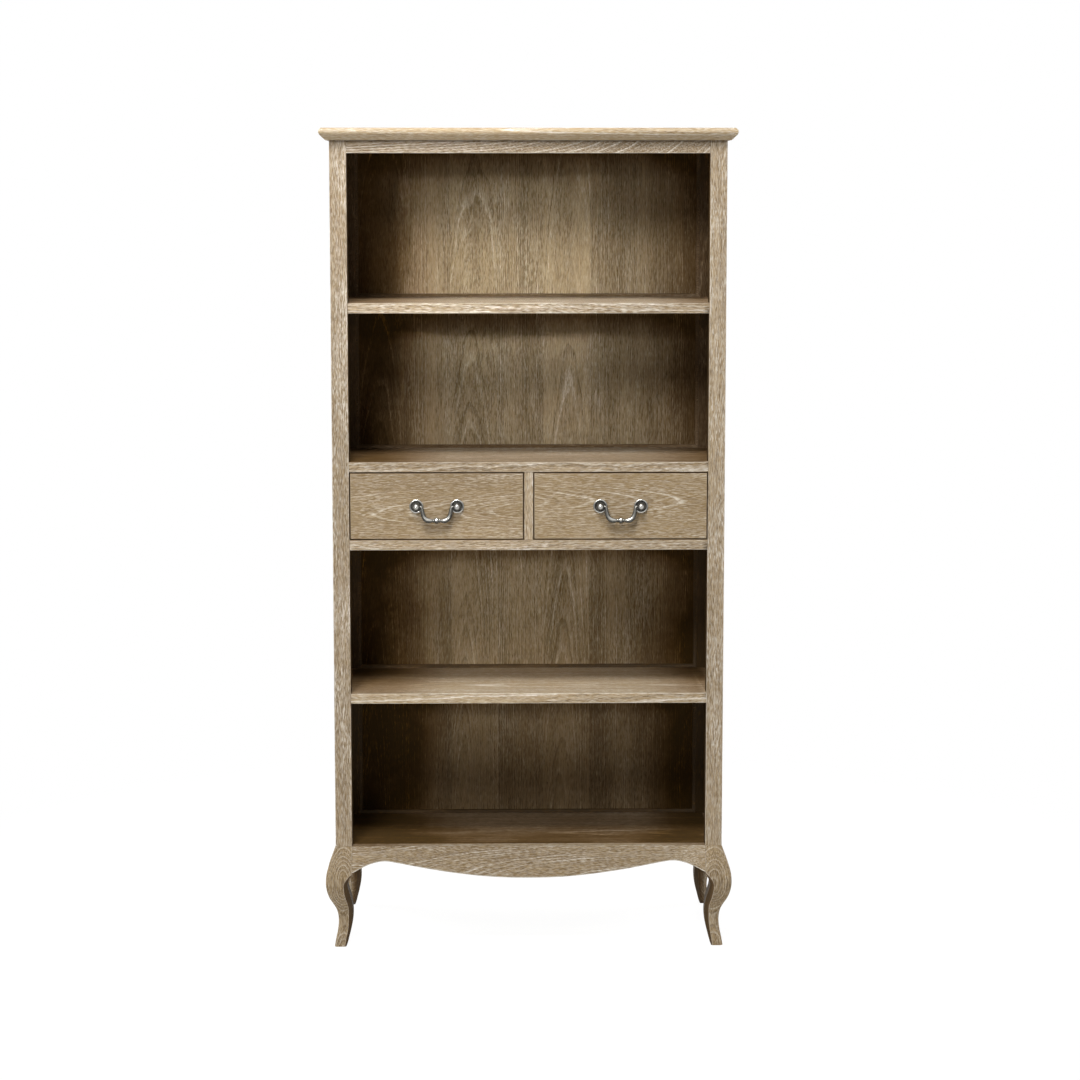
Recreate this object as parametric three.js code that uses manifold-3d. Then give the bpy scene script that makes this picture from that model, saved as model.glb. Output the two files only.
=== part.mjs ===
// An open bookcase in limed oak on four swept legs. Three fixed shelves part its four bays,
// and two drawers lie side by side in the middle. Each drawer has a swinging drop pull.
// Lengths are millimetres. X runs across the case, Y from front to back, Z up from the floor.

import * as THREE from 'three';
import { mergeVertices } from 'three/addons/utils/BufferGeometryUtils.js';
import Module from 'manifold-3d';

const wasm = await Module();
wasm.setup();

// The case over its posts, and the parts of its frame
const caseWidth = 925;
const caseDepth = 370;
const postWidth = 40;
const frontPostDepth = 40;
const rearPostDepth = 60;
const railThickness = 22;
const panelThickness = 10;
const panelSetback = 8;
const backThickness = 8;
const backReveal = 12;
const shelfThickness = 24.5;

// Heights, from the floor up
const legHeight = 246;
const bottomBayHeight = 347;
const middleBayHeight = 344;
const drawerRailHeight = 25;
const drawerOpeningHeight = 160;
const upperBayHeight = 349;
const topBayHeight = 347;
const topRailHeight = 30;
const topThickness = 28.5;

// The top board and its moulded edge
const topSideOverhang = 23.5;
const topFrontOverhang = 24;
const topBackOverhang = 6;
const topNoseRound = 9;
const topUnderRound = 8;
const topBevelWidth = 15;
const topLip = 1;

// Legs and aprons
const kneeSwell = 23;
const kneeRound = 7;
const legArris = 0.8;
const apronJointHeight = 61;
const frontApronDrop = 79;
const sideApronDrop = 66;
const rearApronDrop = 60;
const kneeReach = 75;
const sideRailHeight = 60;

// Drawers
const drawerFrontThickness = 18;
const drawerFrontGap = 2;
const drawerSideThickness = 12;
const drawerHeadroom = 8;
const drawerBackRoom = 32;
const drawerBackThickness = 12;
const drawerBackDrop = 14;
const drawerBottomThickness = 6;
const drawerBottomLift = 8;
const drawerGrooveDepth = 6;
const drawerBackHousing = 4;
const dividerWidth = 22;
const dovetailCount = 4;
const dovetailLength = 11;
const dovetailFlare = 2.5;
const dovetailShare = 0.72;

// The frame that carries the drawers
const bedRailDepth = 60;
const bedRearRailDepth = 28;
const runnerWidth = 32;
const guideHeight = 20;
const guidePlay = 0.5;
const dustPanelThickness = 5;
const dustPanelRebate = 8;
const stopWidth = 40;
const stopDepth = 14;
const stopHeight = 5;

// Joinery
const jointPlay = 0.3;
const tenonLength = 20;
const tenonThickness = 8;
const tenonShoulder = 5;
const shelfTongueLength = 8;
const shelfTongueThickness = 10;
const shelfHousing = 4;
const grooveDepth = 8;
const legTenonWidth = 16;
const legTenonLength = 18;
const beadSize = 8;
const cornerBlockReach = 50;
const cornerBlockHeight = 14;

// Drop pulls
const pullCentres = 96;
const roseRadius = 15.8;
const roseRim = 2.2;
const roseHeight = 3.6;
const roseDish = 1.6;
const ballRadius = 8.5;
const ballStandoff = 13;
const bailPinRadius = 2;
const bailPinLength = 4.8;
const bailPlay = 0.4;
const bailShoulder = 2.5;
const bailArmRadius = 3.3;
const bailBellyRadius = 5.4;
const bailDrop = 33;
const bailBeadRadius = 6.8;
const screwRadius = 2;
const screwHeadRadius = 4;
const screwHeadHeight = 3;
const screwBite = 6;
const screwPlay = 0.3;

// One overrun serves every cut that passes through a face, and roots each tenon in its piece
const overrun = 2;

// Levels and half widths that the pieces share
const halfCase = caseWidth / 2;
const halfOpening = halfCase - postWidth;
const panelOuter = halfCase - panelSetback;
const panelInner = panelOuter - panelThickness;
const rearPostFront = caseDepth - rearPostDepth;
const backFace = rearPostFront + backReveal;
const backRear = backFace + backThickness;
const drawerLength = backFace - drawerBackRoom;
const railInner = halfCase - railThickness;

const bottomBoardBase = legHeight - shelfThickness;
const lowerShelfBase = legHeight + bottomBayHeight;
const lowerShelfTop = lowerShelfBase + shelfThickness;
const bedBase = lowerShelfTop + middleBayHeight;
const bedTop = bedBase + drawerRailHeight;
const deckBase = bedTop + drawerOpeningHeight;
const deckTop = deckBase + shelfThickness;
const upperShelfBase = deckTop + upperBayHeight;
const upperShelfTop = upperShelfBase + shelfThickness;
const topRailBase = upperShelfTop + topBayHeight;
const frameTop = topRailBase + topRailHeight;
const topBoardTop = frameTop + topThickness;
const topDepth = topFrontOverhang + caseDepth + topBackOverhang;
const halfTop = halfCase + topSideOverhang;

const handOf = { left: -1, right: 1 };
const hands = Object.keys(handOf);

// Finishes
const oak = () => new THREE.MeshStandardMaterial({ color: 0x9c8a6e, roughness: 0.72, metalness: 0 });
const innerOak = () => new THREE.MeshStandardMaterial({ color: 0x8a775b, roughness: 0.78, metalness: 0 });
const pewter = () => new THREE.MeshStandardMaterial({ color: 0x8d8c86, roughness: 0.32, metalness: 1 });
const steel = () => new THREE.MeshStandardMaterial({ color: 0x9a9a98, roughness: 0.4, metalness: 1 });

const bookcase = new THREE.Group();
bookcase.name = 'bookcase';

// The case is built with its front at Y zero, and stands centred under the top board.
const carcase = new THREE.Group();
carcase.position.y = topFrontOverhang - topDepth / 2;
bookcase.add(carcase);

// A closed mesh as a solid, and a solid as a mesh
function toSolid(geometry) {
  const bare = geometry.clone();
  bare.deleteAttribute('normal');
  bare.deleteAttribute('uv');
  const merged = mergeVertices(bare);
  const vertProperties = Float32Array.from(merged.attributes.position.array);
  const triVerts = Uint32Array.from(merged.index.array);
  return new wasm.Manifold(new wasm.Mesh({ numProp: 3, vertProperties, triVerts }));
}

function toGeometry(solid) {
  const { vertProperties, triVerts } = solid.getMesh();
  const geometry = new THREE.BufferGeometry();
  geometry.setAttribute('position', new THREE.BufferAttribute(vertProperties, 3));
  geometry.setIndex(new THREE.BufferAttribute(triVerts, 1));
  geometry.computeVertexNormals();
  return geometry;
}

function place(name, solid, material) {
  const mesh = new THREE.Mesh(toGeometry(solid), material);
  mesh.name = name;
  carcase.add(mesh);
}

// A square-cut board between pairs of limits, grown all round by a clearance where it is a cut
function board(xLimits, yLimits, zLimits, growth = 0) {
  const spans = [xLimits, yLimits, zLimits].map(([from, to]) => Math.abs(to - from) + 2 * growth);
  const centre = [xLimits, yLimits, zLimits].map(([from, to]) => (from + to) / 2);
  return toSolid(new THREE.BoxGeometry(...spans).translate(...centre));
}

// The same limits on the left or right side of the case
const onSide = (hand, from, to) => [handOf[hand] * from, handOf[hand] * to];

function joined(first, ...others) {
  return others.reduce((whole, other) => whole.add(other), first);
}

function cut(piece, ...tools) {
  return tools.reduce((whole, tool) => whole.subtract(tool), piece);
}

// Turns a closed skin so that its faces point out
function facingOut(geometry) {
  const position = geometry.attributes.position;
  const index = geometry.index.array;
  const [a, b, c] = [new THREE.Vector3(), new THREE.Vector3(), new THREE.Vector3()];
  let volume = 0;
  for (let i = 0; i < index.length; i += 3) {
    a.fromBufferAttribute(position, index[i]);
    b.fromBufferAttribute(position, index[i + 1]);
    c.fromBufferAttribute(position, index[i + 2]);
    volume += a.dot(b.cross(c));
  }
  if (volume < 0) geometry.setIndex([...index].reverse());
  return geometry;
}

// Triangles that close a flat ring of points, turned the same way as the ring
function capTriangles(ring) {
  const normal = new THREE.Vector3();
  ring.forEach((point, i) => normal.add(new THREE.Vector3().crossVectors(point, ring[(i + 1) % ring.length])));
  const flat = new THREE.Quaternion().setFromUnitVectors(normal.normalize(), new THREE.Vector3(0, 0, 1));
  const outline = ring.map((point) => {
    const turned = point.clone().applyQuaternion(flat);
    return new THREE.Vector2(turned.x, turned.y);
  });
  const ringIsForward = THREE.ShapeUtils.area(outline) > 0;
  return THREE.ShapeUtils.triangulateShape(outline, []).map(([i, j, k]) => {
    const isForward = THREE.ShapeUtils.area([outline[i], outline[j], outline[k]]) > 0;
    return isForward === ringIsForward ? [i, j, k] : [i, k, j];
  });
}

// A closed skin over a row of rings with equal counts of points. It is capped at both ends,
// or its last ring joins its first.
function loft(rings, endless = false) {
  const count = rings[0].length;
  const index = [];
  const lastRow = endless ? rings.length : rings.length - 1;
  for (let row = 0; row < lastRow; row += 1) {
    const near = row * count;
    const far = ((row + 1) % rings.length) * count;
    for (let i = 0; i < count; i += 1) {
      const j = (i + 1) % count;
      index.push(near + i, near + j, far + j, near + i, far + j, far + i);
    }
  }
  if (!endless) {
    const start = (rings.length - 1) * count;
    capTriangles(rings[0]).forEach(([i, j, k]) => index.push(i, k, j));
    capTriangles(rings[rings.length - 1]).forEach(([i, j, k]) => index.push(start + i, start + j, start + k));
  }
  const geometry = new THREE.BufferGeometry().setFromPoints(rings.flat());
  geometry.setIndex(index);
  return toSolid(facingOut(geometry));
}

// An outline drawn in X and Y, standing between two heights
function standing(points, zLow, zHigh) {
  const shape = new THREE.Shape(points.map(([x, y]) => new THREE.Vector2(x, y)));
  const geometry = new THREE.ExtrudeGeometry(shape, { depth: zHigh - zLow, bevelEnabled: false });
  return toSolid(geometry.translate(0, 0, zLow));
}

// A round bar or bore that runs along Y from one depth to another
function roundAlongY(radius, x, yNear, yFar, z) {
  const geometry = new THREE.CylinderGeometry(radius, radius, yFar - yNear, 20);
  return toSolid(geometry.translate(0, (yNear + yFar) / 2, 0).translate(x, 0, z));
}

function roundAlongX(radius, xNear, xFar, y, z) {
  const geometry = new THREE.CylinderGeometry(radius, radius, Math.abs(xFar - xNear), 20);
  return toSolid(geometry.rotateZ(Math.PI / 2).translate((xNear + xFar) / 2, y, z));
}

// Top board: a round nose over a long bevel, on the front and both sides
function noseOutline(edge, span) {
  const shape = new THREE.Shape();
  const noseLow = topBoardTop - topNoseRound;
  const underLow = noseLow - topUnderRound;
  const bevelEase = topUnderRound * (topBevelWidth / (topThickness - topNoseRound)) / 2;
  shape.moveTo(edge - span, frameTop);
  shape.lineTo(edge - topBevelWidth, frameTop);
  shape.lineTo(edge - topBevelWidth + topLip, frameTop + topLip);
  shape.lineTo(edge - bevelEase, underLow);
  shape.quadraticCurveTo(edge, (noseLow + underLow) / 2, edge, noseLow);
  shape.absarc(edge - topNoseRound, noseLow, topNoseRound, 0, Math.PI / 2);
  shape.lineTo(edge - span, topBoardTop);
  return shape.getPoints(5);
}

function topBoard() {
  const nose = noseOutline(halfTop, halfTop);
  const mirrored = nose.map((point) => new THREE.Vector2(-point.x, point.y)).reverse();
  const acrossShape = new THREE.Shape([...nose.slice(1, -1), ...mirrored.slice(1, -1)]);
  const across = new THREE.ExtrudeGeometry(acrossShape, { depth: topDepth, bevelEnabled: false });
  across.rotateX(Math.PI / 2).translate(0, caseDepth + topBackOverhang, 0);

  const alongShape = new THREE.Shape(noseOutline(topFrontOverhang, topDepth));
  const along = new THREE.ExtrudeGeometry(alongShape, { depth: 2 * halfTop, bevelEnabled: false });
  along.rotateX(Math.PI / 2).rotateZ(-Math.PI / 2).translate(halfTop, 0, 0);
  return toSolid(across).intersect(toSolid(along));
}

// Swept legs. Each row gives a height as a share of the leg, the outward swell as a share of
// the knee's swell, and two widths as shares of the post: to the front arris and to the inner face.
const legRowShares = [
  [0, 0.18, 0.515, 0.6], [0.04, 0.11, 0.55, 0.69], [0.09, 0.01, 0.598, 0.77],
  [0.146, -0.12, 0.668, 0.86], [0.203, -0.2, 0.708, 0.935], [0.252, -0.23, 0.725, 0.98],
  [0.309, -0.18, 0.74, 1.005], [0.358, -0.06, 0.742, 1], [0.398, 0.115, 0.72, 0.98],
  [0.439, 0.345, 0.67, 0.95], [0.48, 0.58, 0.605, 0.91], [0.52, 0.75, 0.552, 0.85],
  [0.561, 0.88, 0.508, 0.785], [0.602, 0.965, 0.49, 0.73], [0.634, 1, 0.492, 0.715],
  [0.667, 1, 0.562, 0.78], [0.695, 0.985, 0.68, 0.855], [0.724, 0.95, 0.825, 0.93],
];
const blockRowShares = [
  [0, 0.9], [0.16, 0.79], [0.34, 0.63], [0.54, 0.43], [0.74, 0.23], [0.9, 0.08], [1, 0],
];

const blockBase = legHeight - apronJointHeight;
const legRows = [
  ...legRowShares.map(([height, swell, arris, inner]) => ({
    z: height * legHeight, swell: swell * kneeSwell, arris: arris * postWidth, inner: inner * postWidth,
  })),
  ...blockRowShares.map(([height, swell]) => ({
    z: blockBase + height * apronJointHeight, swell: swell * kneeSwell, arris: postWidth, inner: postWidth,
  })),
];

// How far the leg stands out of the case at a height
function swellAt(z) {
  const above = Math.max(1, legRows.findIndex((row) => row.z >= z));
  const [low, high] = [legRows[above - 1], legRows[above]];
  return THREE.MathUtils.mapLinear(z, low.z, high.z, low.swell, high.swell);
}

function edgeRound(z) {
  return THREE.MathUtils.lerp(legArris, kneeRound, Math.min(1, (legHeight - z) / apronJointHeight));
}

// Sections are drawn with u running in from the case's side and v from its front or back.
function frontLegSection({ z, swell, arris, inner }) {
  const slant = Math.max(inner - arris, legArris);
  const round = edgeRound(z);
  const corner = [0, 0.29, 0.71, 1].map((share) => {
    const angle = (share * Math.PI) / 2;
    return [-swell + round * (1 - Math.cos(angle)), -swell + round * (1 - Math.sin(angle))];
  });
  return [
    ...corner, [inner - slant, -swell], [inner, slant - swell], [inner, inner - legArris],
    [inner - legArris, inner], [slant - swell, inner], [-swell, inner - slant],
  ];
}

function rearLegSection({ z, swell, arris, inner }) {
  const slant = Math.max(inner - arris, legArris);
  const blockShare = Math.min(1, z / blockBase);
  const depth = inner * THREE.MathUtils.lerp(1, rearPostDepth / postWidth, blockShare);
  return [
    [-swell, 0], [-swell, depth - edgeRound(z)], [edgeRound(z) - swell, depth], [inner - slant, depth],
    [inner, depth - slant], [inner, 0],
  ];
}

function frontLeg(hand) {
  return loft(legRows.map((row) => frontLegSection(row).map(
    ([u, v]) => new THREE.Vector3(handOf[hand] * (halfCase - u), v, row.z),
  )));
}

function rearLeg(hand) {
  return loft(legRows.map((row) => rearLegSection(row).map(
    ([u, v]) => new THREE.Vector3(handOf[hand] * (halfCase - u), caseDepth - v, row.z),
  )));
}

// Aprons. Their lower edge is a smooth line through shares of the half length and of the drop.
const frontEdgeShares = [[0, 1], [0.19, 0.975], [0.37, 0.88], [0.55, 0.735], [0.73, 0.55], [0.82, 0.48], [0.91, 0.565]];
const sideEdgeShares = [[0, 1], [0.3, 0.93], [0.58, 0.75], [0.78, 0.7]];
const apronStations = 9;
const apronLayers = 6;

function apronEdge(edgeShares, halfLength, drop) {
  const half = edgeShares.map(([along, down]) => new THREE.Vector2(along * halfLength, down * drop));
  half.push(new THREE.Vector2(halfLength, apronJointHeight));
  const mirrored = half.slice(1).map((point) => new THREE.Vector2(-point.x, point.y)).reverse();
  const edge = new THREE.SplineCurve([...mirrored, ...half]).getPoints(2 * half.length * apronStations / 3);
  edge[0].x = -halfLength;
  edge[edge.length - 1].x = halfLength;
  return edge;
}

// A board whose face swells near its ends to meet the knees. Its section has a flat back, and
// toPlace turns a length, an outward depth and a height into a point.
function apron(edge, halfLength, swellsAtEnds, toPlace) {
  return loft(edge.map(({ x, y }) => {
    const low = legHeight - y;
    const fade = THREE.MathUtils.smoothstep(Math.abs(x), halfLength - kneeReach, halfLength);
    const face = Array.from({ length: apronLayers + 1 }, (_, layer) => {
      const z = THREE.MathUtils.lerp(low, legHeight, layer / apronLayers);
      return toPlace(x, swellsAtEnds ? swellAt(z) * fade : 0, z);
    });
    return [toPlace(x, -railThickness, low), ...face, toPlace(x, -railThickness, legHeight)];
  }));
}

// Tenon limits, which cut their own mortises when grown by the joint's play
const tenonMiddle = railThickness / 2;
const tenonFaces = [tenonMiddle - tenonThickness / 2, tenonMiddle + tenonThickness / 2];
const apronTenonHeights = [blockBase + tenonShoulder, legHeight - legTenonLength - jointPlay - tenonShoulder / 2];
const topRailTenonHeights = [topRailBase + tenonShoulder, frameTop - tenonShoulder];
const sideRailBase = frameTop - sideRailHeight;
const sideRailTenonHeights = [sideRailBase + grooveDepth + tenonShoulder, frameTop - tenonShoulder];

const tenonReach = (hand) => onSide(hand, halfOpening - overrun, halfOpening + tenonLength);
const frontTenon = (hand, heights, growth) => board(tenonReach(hand), tenonFaces, heights, growth);
const rearTenon = (hand, heights, growth) => board(
  tenonReach(hand), tenonFaces.map((face) => caseDepth - face), heights, growth,
);
const sideTenonX = (hand) => onSide(hand, halfCase - tenonFaces[0], halfCase - tenonFaces[1]);
const sideFrontTenon = (hand, heights, growth) => board(
  sideTenonX(hand), [frontPostDepth - tenonLength, frontPostDepth + overrun], heights, growth,
);
const sideRearTenon = (hand, heights, growth) => board(
  sideTenonX(hand), [rearPostFront - overrun, rearPostFront + tenonLength], heights, growth,
);

// A post's tenon stands in the middle of the leg's top.
function legTenon(hand, isRear, growth) {
  const middleY = isRear ? caseDepth - rearPostDepth / 2 : frontPostDepth / 2;
  const reach = legTenonWidth / 2;
  const middleX = halfCase - postWidth / 2;
  return board(
    onSide(hand, middleX - reach, middleX + reach), [middleY - reach, middleY + reach],
    [legHeight - legTenonLength, legHeight + overrun], growth,
  );
}

// Tongues of the shelves in the front posts
function shelfTongue(hand, base, thickness, growth) {
  const middle = base + thickness / 2;
  return board(
    onSide(hand, halfOpening - overrun, halfOpening + shelfTongueLength),
    [frontPostDepth / 4, (3 * frontPostDepth) / 4],
    [middle - shelfTongueThickness / 2, middle + shelfTongueThickness / 2], growth,
  );
}

const shelfLevels = [
  { name: 'upper_shelf', base: upperShelfBase },
  { name: 'drawer_deck', base: deckBase },
  { name: 'lower_shelf', base: lowerShelfBase },
];

// The outline of a shelf: it lies flush between the posts and runs out into the side panels.
function shelfOutline(front, sideReach) {
  const right = [
    [halfOpening, front], [halfOpening, frontPostDepth], [sideReach, frontPostDepth],
    [sideReach, rearPostFront], [halfOpening, rearPostFront], [halfOpening, backFace],
  ];
  return [...right, ...right.map(([x, y]) => [-x, y]).reverse()];
}

// Posts, with their tenons below and the mortises and grooves that they hold
function frontPost(hand) {
  const post = joined(
    board(onSide(hand, halfOpening, halfCase), [0, frontPostDepth], [legHeight, frameTop]),
    legTenon(hand, false, 0),
  );
  const grooves = [
    board(onSide(hand, panelInner, panelOuter), [frontPostDepth - grooveDepth, frontPostDepth + overrun],
      [legHeight - overrun, frameTop + overrun], jointPlay),
    frontTenon(hand, topRailTenonHeights, jointPlay),
    sideFrontTenon(hand, sideRailTenonHeights, jointPlay),
    shelfTongue(hand, bedBase, drawerRailHeight, jointPlay),
    ...shelfLevels.map(({ base }) => shelfTongue(hand, base, shelfThickness, jointPlay)),
  ];
  return cut(post, ...grooves);
}

function rearPost(hand) {
  const post = joined(
    board(onSide(hand, halfOpening, halfCase), [rearPostFront, caseDepth], [legHeight, frameTop]),
    legTenon(hand, true, 0),
  );
  return cut(
    post,
    board(onSide(hand, panelInner, panelOuter), [rearPostFront - overrun, rearPostFront + grooveDepth],
      [legHeight - overrun, frameTop + overrun], jointPlay),
    board(onSide(hand, halfOpening - overrun, halfOpening + grooveDepth), [backFace, backRear],
      [legHeight - overrun, frameTop + overrun], jointPlay),
    sideRearTenon(hand, sideRailTenonHeights, jointPlay),
  );
}

function sidePanel(hand) {
  const faces = onSide(hand, panelInner, panelOuter);
  const panelTop = sideRailBase + grooveDepth;
  const panel = joined(
    board(faces, [frontPostDepth - grooveDepth, rearPostFront + grooveDepth], [legHeight, panelTop]),
    board(faces, [frontPostDepth, rearPostFront], [legHeight - grooveDepth, panelTop]),
  );
  const housings = [...shelfLevels.map(({ base }) => [base, base + shelfThickness]), [bedBase, bedTop]];
  return cut(panel, ...housings.map((heights) => board(
    onSide(hand, panelInner - overrun, panelInner + shelfHousing),
    [frontPostDepth, rearPostFront], heights, jointPlay,
  )));
}

function sideRail(hand) {
  const rail = joined(
    board(onSide(hand, railInner, halfCase), [frontPostDepth, rearPostFront], [sideRailBase, frameTop]),
    sideFrontTenon(hand, sideRailTenonHeights, 0),
    sideRearTenon(hand, sideRailTenonHeights, 0),
  );
  return cut(rail, board(
    onSide(hand, panelInner, panelOuter), [frontPostDepth - overrun, rearPostFront + overrun],
    [sideRailBase - overrun, sideRailBase + grooveDepth], jointPlay,
  ));
}

// The dovetails between a drawer's side and its front: tails that flare towards the front
function dovetails(x0, x1, zLow, zHigh, growth) {
  const pitch = (zHigh - zLow) / dovetailCount;
  const halfTip = (pitch * dovetailShare) / 2 + growth;
  const halfNeck = halfTip - dovetailFlare;
  const yTip = drawerFrontThickness - dovetailLength - growth;
  const yNeck = drawerFrontThickness + overrun;
  const shapes = Array.from({ length: dovetailCount }, (_, i) => {
    const middle = zLow + pitch * (i + 1 / 2);
    return [
      [yTip, middle - halfTip], [yNeck, middle - halfNeck], [yNeck, middle + halfNeck], [yTip, middle + halfTip],
    ];
  });
  const [left, right] = [Math.min(x0, x1) - growth, Math.max(x0, x1) + growth];
  return shapes.map((points) => loft([left, right].map(
    (x) => points.map(([y, z]) => new THREE.Vector3(x, y, z)),
  )));
}

function addFrame() {
  place('top_board', topBoard(), oak());
  place('top_front_rail', joined(
    board([-halfOpening, halfOpening], [0, railThickness], [topRailBase, frameTop]),
    ...hands.map((hand) => frontTenon(hand, topRailTenonHeights, 0)),
  ), oak());

  for (const hand of hands) {
    place(`${hand}_top_side_rail`, sideRail(hand), oak());
    place(`${hand}_front_post`, frontPost(hand), oak());
    place(`${hand}_rear_post`, rearPost(hand), oak());
    place(`${hand}_side_panel`, sidePanel(hand), oak());
    place(`${hand}_front_leg`, cut(
      frontLeg(hand), legTenon(hand, false, jointPlay), frontTenon(hand, apronTenonHeights, jointPlay),
      sideFrontTenon(hand, apronTenonHeights, jointPlay),
    ), oak());
    place(`${hand}_rear_leg`, cut(
      rearLeg(hand), legTenon(hand, true, jointPlay), rearTenon(hand, apronTenonHeights, jointPlay),
      sideRearTenon(hand, apronTenonHeights, jointPlay),
    ), oak());
  }
  place('back_panel', joined(
    board([-halfOpening - grooveDepth, halfOpening + grooveDepth], [backFace, backRear], [legHeight, frameTop]),
    board([-halfOpening, halfOpening], [backFace, backRear], [bottomBoardBase, frameTop]),
  ), innerOak());
}

function addAprons() {
  const frontEdge = apronEdge(frontEdgeShares, halfOpening, frontApronDrop);
  const frontApron = apron(frontEdge, halfOpening, true, (x, out, z) => new THREE.Vector3(x, -out, z));
  place('front_apron', joined(frontApron, ...hands.map((hand) => frontTenon(hand, apronTenonHeights, 0))), oak());

  const rearEdge = apronEdge([[0, 1], [0.5, 1]], halfOpening, rearApronDrop);
  const rearApron = apron(rearEdge, halfOpening, false, (x, out, z) => new THREE.Vector3(x, caseDepth + out, z));
  place('rear_apron', joined(rearApron, ...hands.map((hand) => rearTenon(hand, apronTenonHeights, 0))), oak());

  const halfLength = (rearPostFront - frontPostDepth) / 2;
  const middleY = (rearPostFront + frontPostDepth) / 2;
  const sideEdge = apronEdge(sideEdgeShares, halfLength, sideApronDrop);
  for (const hand of hands) {
    const side = apron(sideEdge, halfLength, true, (y, out, z) => new THREE.Vector3(
      handOf[hand] * (halfCase + out), middleY + y, z,
    ));
    const panelGroove = board(
      onSide(hand, panelInner, panelOuter), [frontPostDepth - overrun, rearPostFront + overrun],
      [legHeight - grooveDepth, legHeight + overrun], jointPlay,
    );
    place(`${hand}_side_apron`, joined(
      cut(side, panelGroove),
      sideFrontTenon(hand, apronTenonHeights, 0), sideRearTenon(hand, apronTenonHeights, 0),
    ), oak());
  }
}

// Glued blocks that brace each leg to its two aprons
function addCornerBlocks() {
  const rearInner = caseDepth - railThickness;
  const heights = [bottomBoardBase - cornerBlockHeight, bottomBoardBase];
  for (const hand of hands) {
    const frontCorner = [
      [halfOpening - jointPlay, railThickness], [halfOpening - cornerBlockReach, railThickness],
      [railInner, frontPostDepth + cornerBlockReach], [railInner, frontPostDepth + jointPlay],
      [halfOpening - jointPlay, frontPostDepth + jointPlay],
    ];
    const rearCorner = [
      [halfOpening - jointPlay, rearInner], [halfOpening - cornerBlockReach, rearInner],
      [railInner, rearPostFront - cornerBlockReach], [railInner, rearPostFront - jointPlay],
      [halfOpening - jointPlay, rearPostFront - jointPlay],
    ];
    const onHand = (points) => points.map(([x, y]) => [handOf[hand] * x, y]);
    place(`${hand}_front_corner_block`, standing(onHand(frontCorner), ...heights), innerOak());
    place(`${hand}_rear_corner_block`, standing(onHand(rearCorner), ...heights), innerOak());
  }
}

function addShelves() {
  for (const { name, base } of shelfLevels) {
    place(name, joined(
      standing(shelfOutline(0, panelInner + shelfHousing), base, base + shelfThickness),
      ...hands.map((hand) => shelfTongue(hand, base, shelfThickness, 0)),
    ), oak());
  }
  place('bottom_board', standing(shelfOutline(railThickness, railInner), bottomBoardBase, legHeight), oak());
}

// Mitred quarter-round beads where the back panel meets each open bay
function addBackBeads() {
  const bays = [
    ['top_bay_bead', upperShelfTop, frameTop], ['upper_bay_bead', deckTop, upperShelfBase],
    ['middle_bay_bead', lowerShelfTop, bedBase], ['bottom_bay_bead', legHeight, lowerShelfBase],
  ];
  const section = [[0, 0], [beadSize, 0], [beadSize * 0.87, beadSize * 0.5], [beadSize * 0.5, beadSize * 0.87], [0, beadSize]];
  for (const [name, low, high] of bays) {
    const corners = [[-1, low, 1], [1, low, 1], [1, high, -1], [-1, high, -1]];
    place(name, loft(corners.map(([side, z, up]) => section.map(
      ([inward, forward]) => new THREE.Vector3(side * (halfOpening - inward), backFace - forward, z + up * inward),
    )), true), oak());
  }
}

// The bed under the drawers: a front rail, a rear rail, three runners and a thin panel below
function addDrawerBed() {
  const rearRailFront = rearPostFront - bedRearRailDepth;
  const runnerBase = bedBase + dustPanelThickness;
  const runnerY = [bedRailDepth, rearRailFront];
  const frontRail = standing([
    [halfOpening, 0], [halfOpening, frontPostDepth], [panelInner + shelfHousing, frontPostDepth],
    [panelInner + shelfHousing, bedRailDepth], [-panelInner - shelfHousing, bedRailDepth],
    [-panelInner - shelfHousing, frontPostDepth], [-halfOpening, frontPostDepth], [-halfOpening, 0],
  ], bedBase, bedTop);
  const panelRebate = board(
    [-panelInner, panelInner], [bedRailDepth - dustPanelRebate, bedRailDepth + overrun],
    [bedBase - overrun, runnerBase],
  );
  place('drawer_front_rail', joined(
    cut(frontRail, panelRebate), ...hands.map((hand) => shelfTongue(hand, bedBase, drawerRailHeight, 0)),
  ), oak());
  place('drawer_rear_rail', board([-panelInner, panelInner], [rearRailFront, rearPostFront], [runnerBase, bedTop]), innerOak());
  place('dust_panel', standing([
    [panelInner, bedRailDepth - dustPanelRebate], [panelInner, rearPostFront], [halfOpening, rearPostFront],
    [halfOpening, backFace], [-halfOpening, backFace], [-halfOpening, rearPostFront],
    [-panelInner, rearPostFront], [-panelInner, bedRailDepth - dustPanelRebate],
  ], bedBase, runnerBase), innerOak());

  const guideInner = halfOpening - drawerFrontGap + guidePlay;
  for (const hand of hands) {
    place(`${hand}_drawer_runner`, joined(
      board(onSide(hand, panelInner - guidePlay - runnerWidth, panelInner), runnerY, [runnerBase, bedTop]),
      board(onSide(hand, guideInner, panelInner), runnerY, [bedTop, bedTop + guideHeight]),
    ), innerOak());
  }
  const guideHalf = dividerWidth / 2 + drawerFrontGap - guidePlay;
  place('centre_drawer_runner', joined(
    board([-guideHalf - runnerWidth, guideHalf + runnerWidth], runnerY, [runnerBase, bedTop]),
    board([-guideHalf, guideHalf], runnerY, [bedTop, bedTop + guideHeight]),
  ), innerOak());
  place('drawer_divider', board([-dividerWidth / 2, dividerWidth / 2], [0, frontPostDepth], [bedTop, deckBase]), oak());
}

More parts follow.
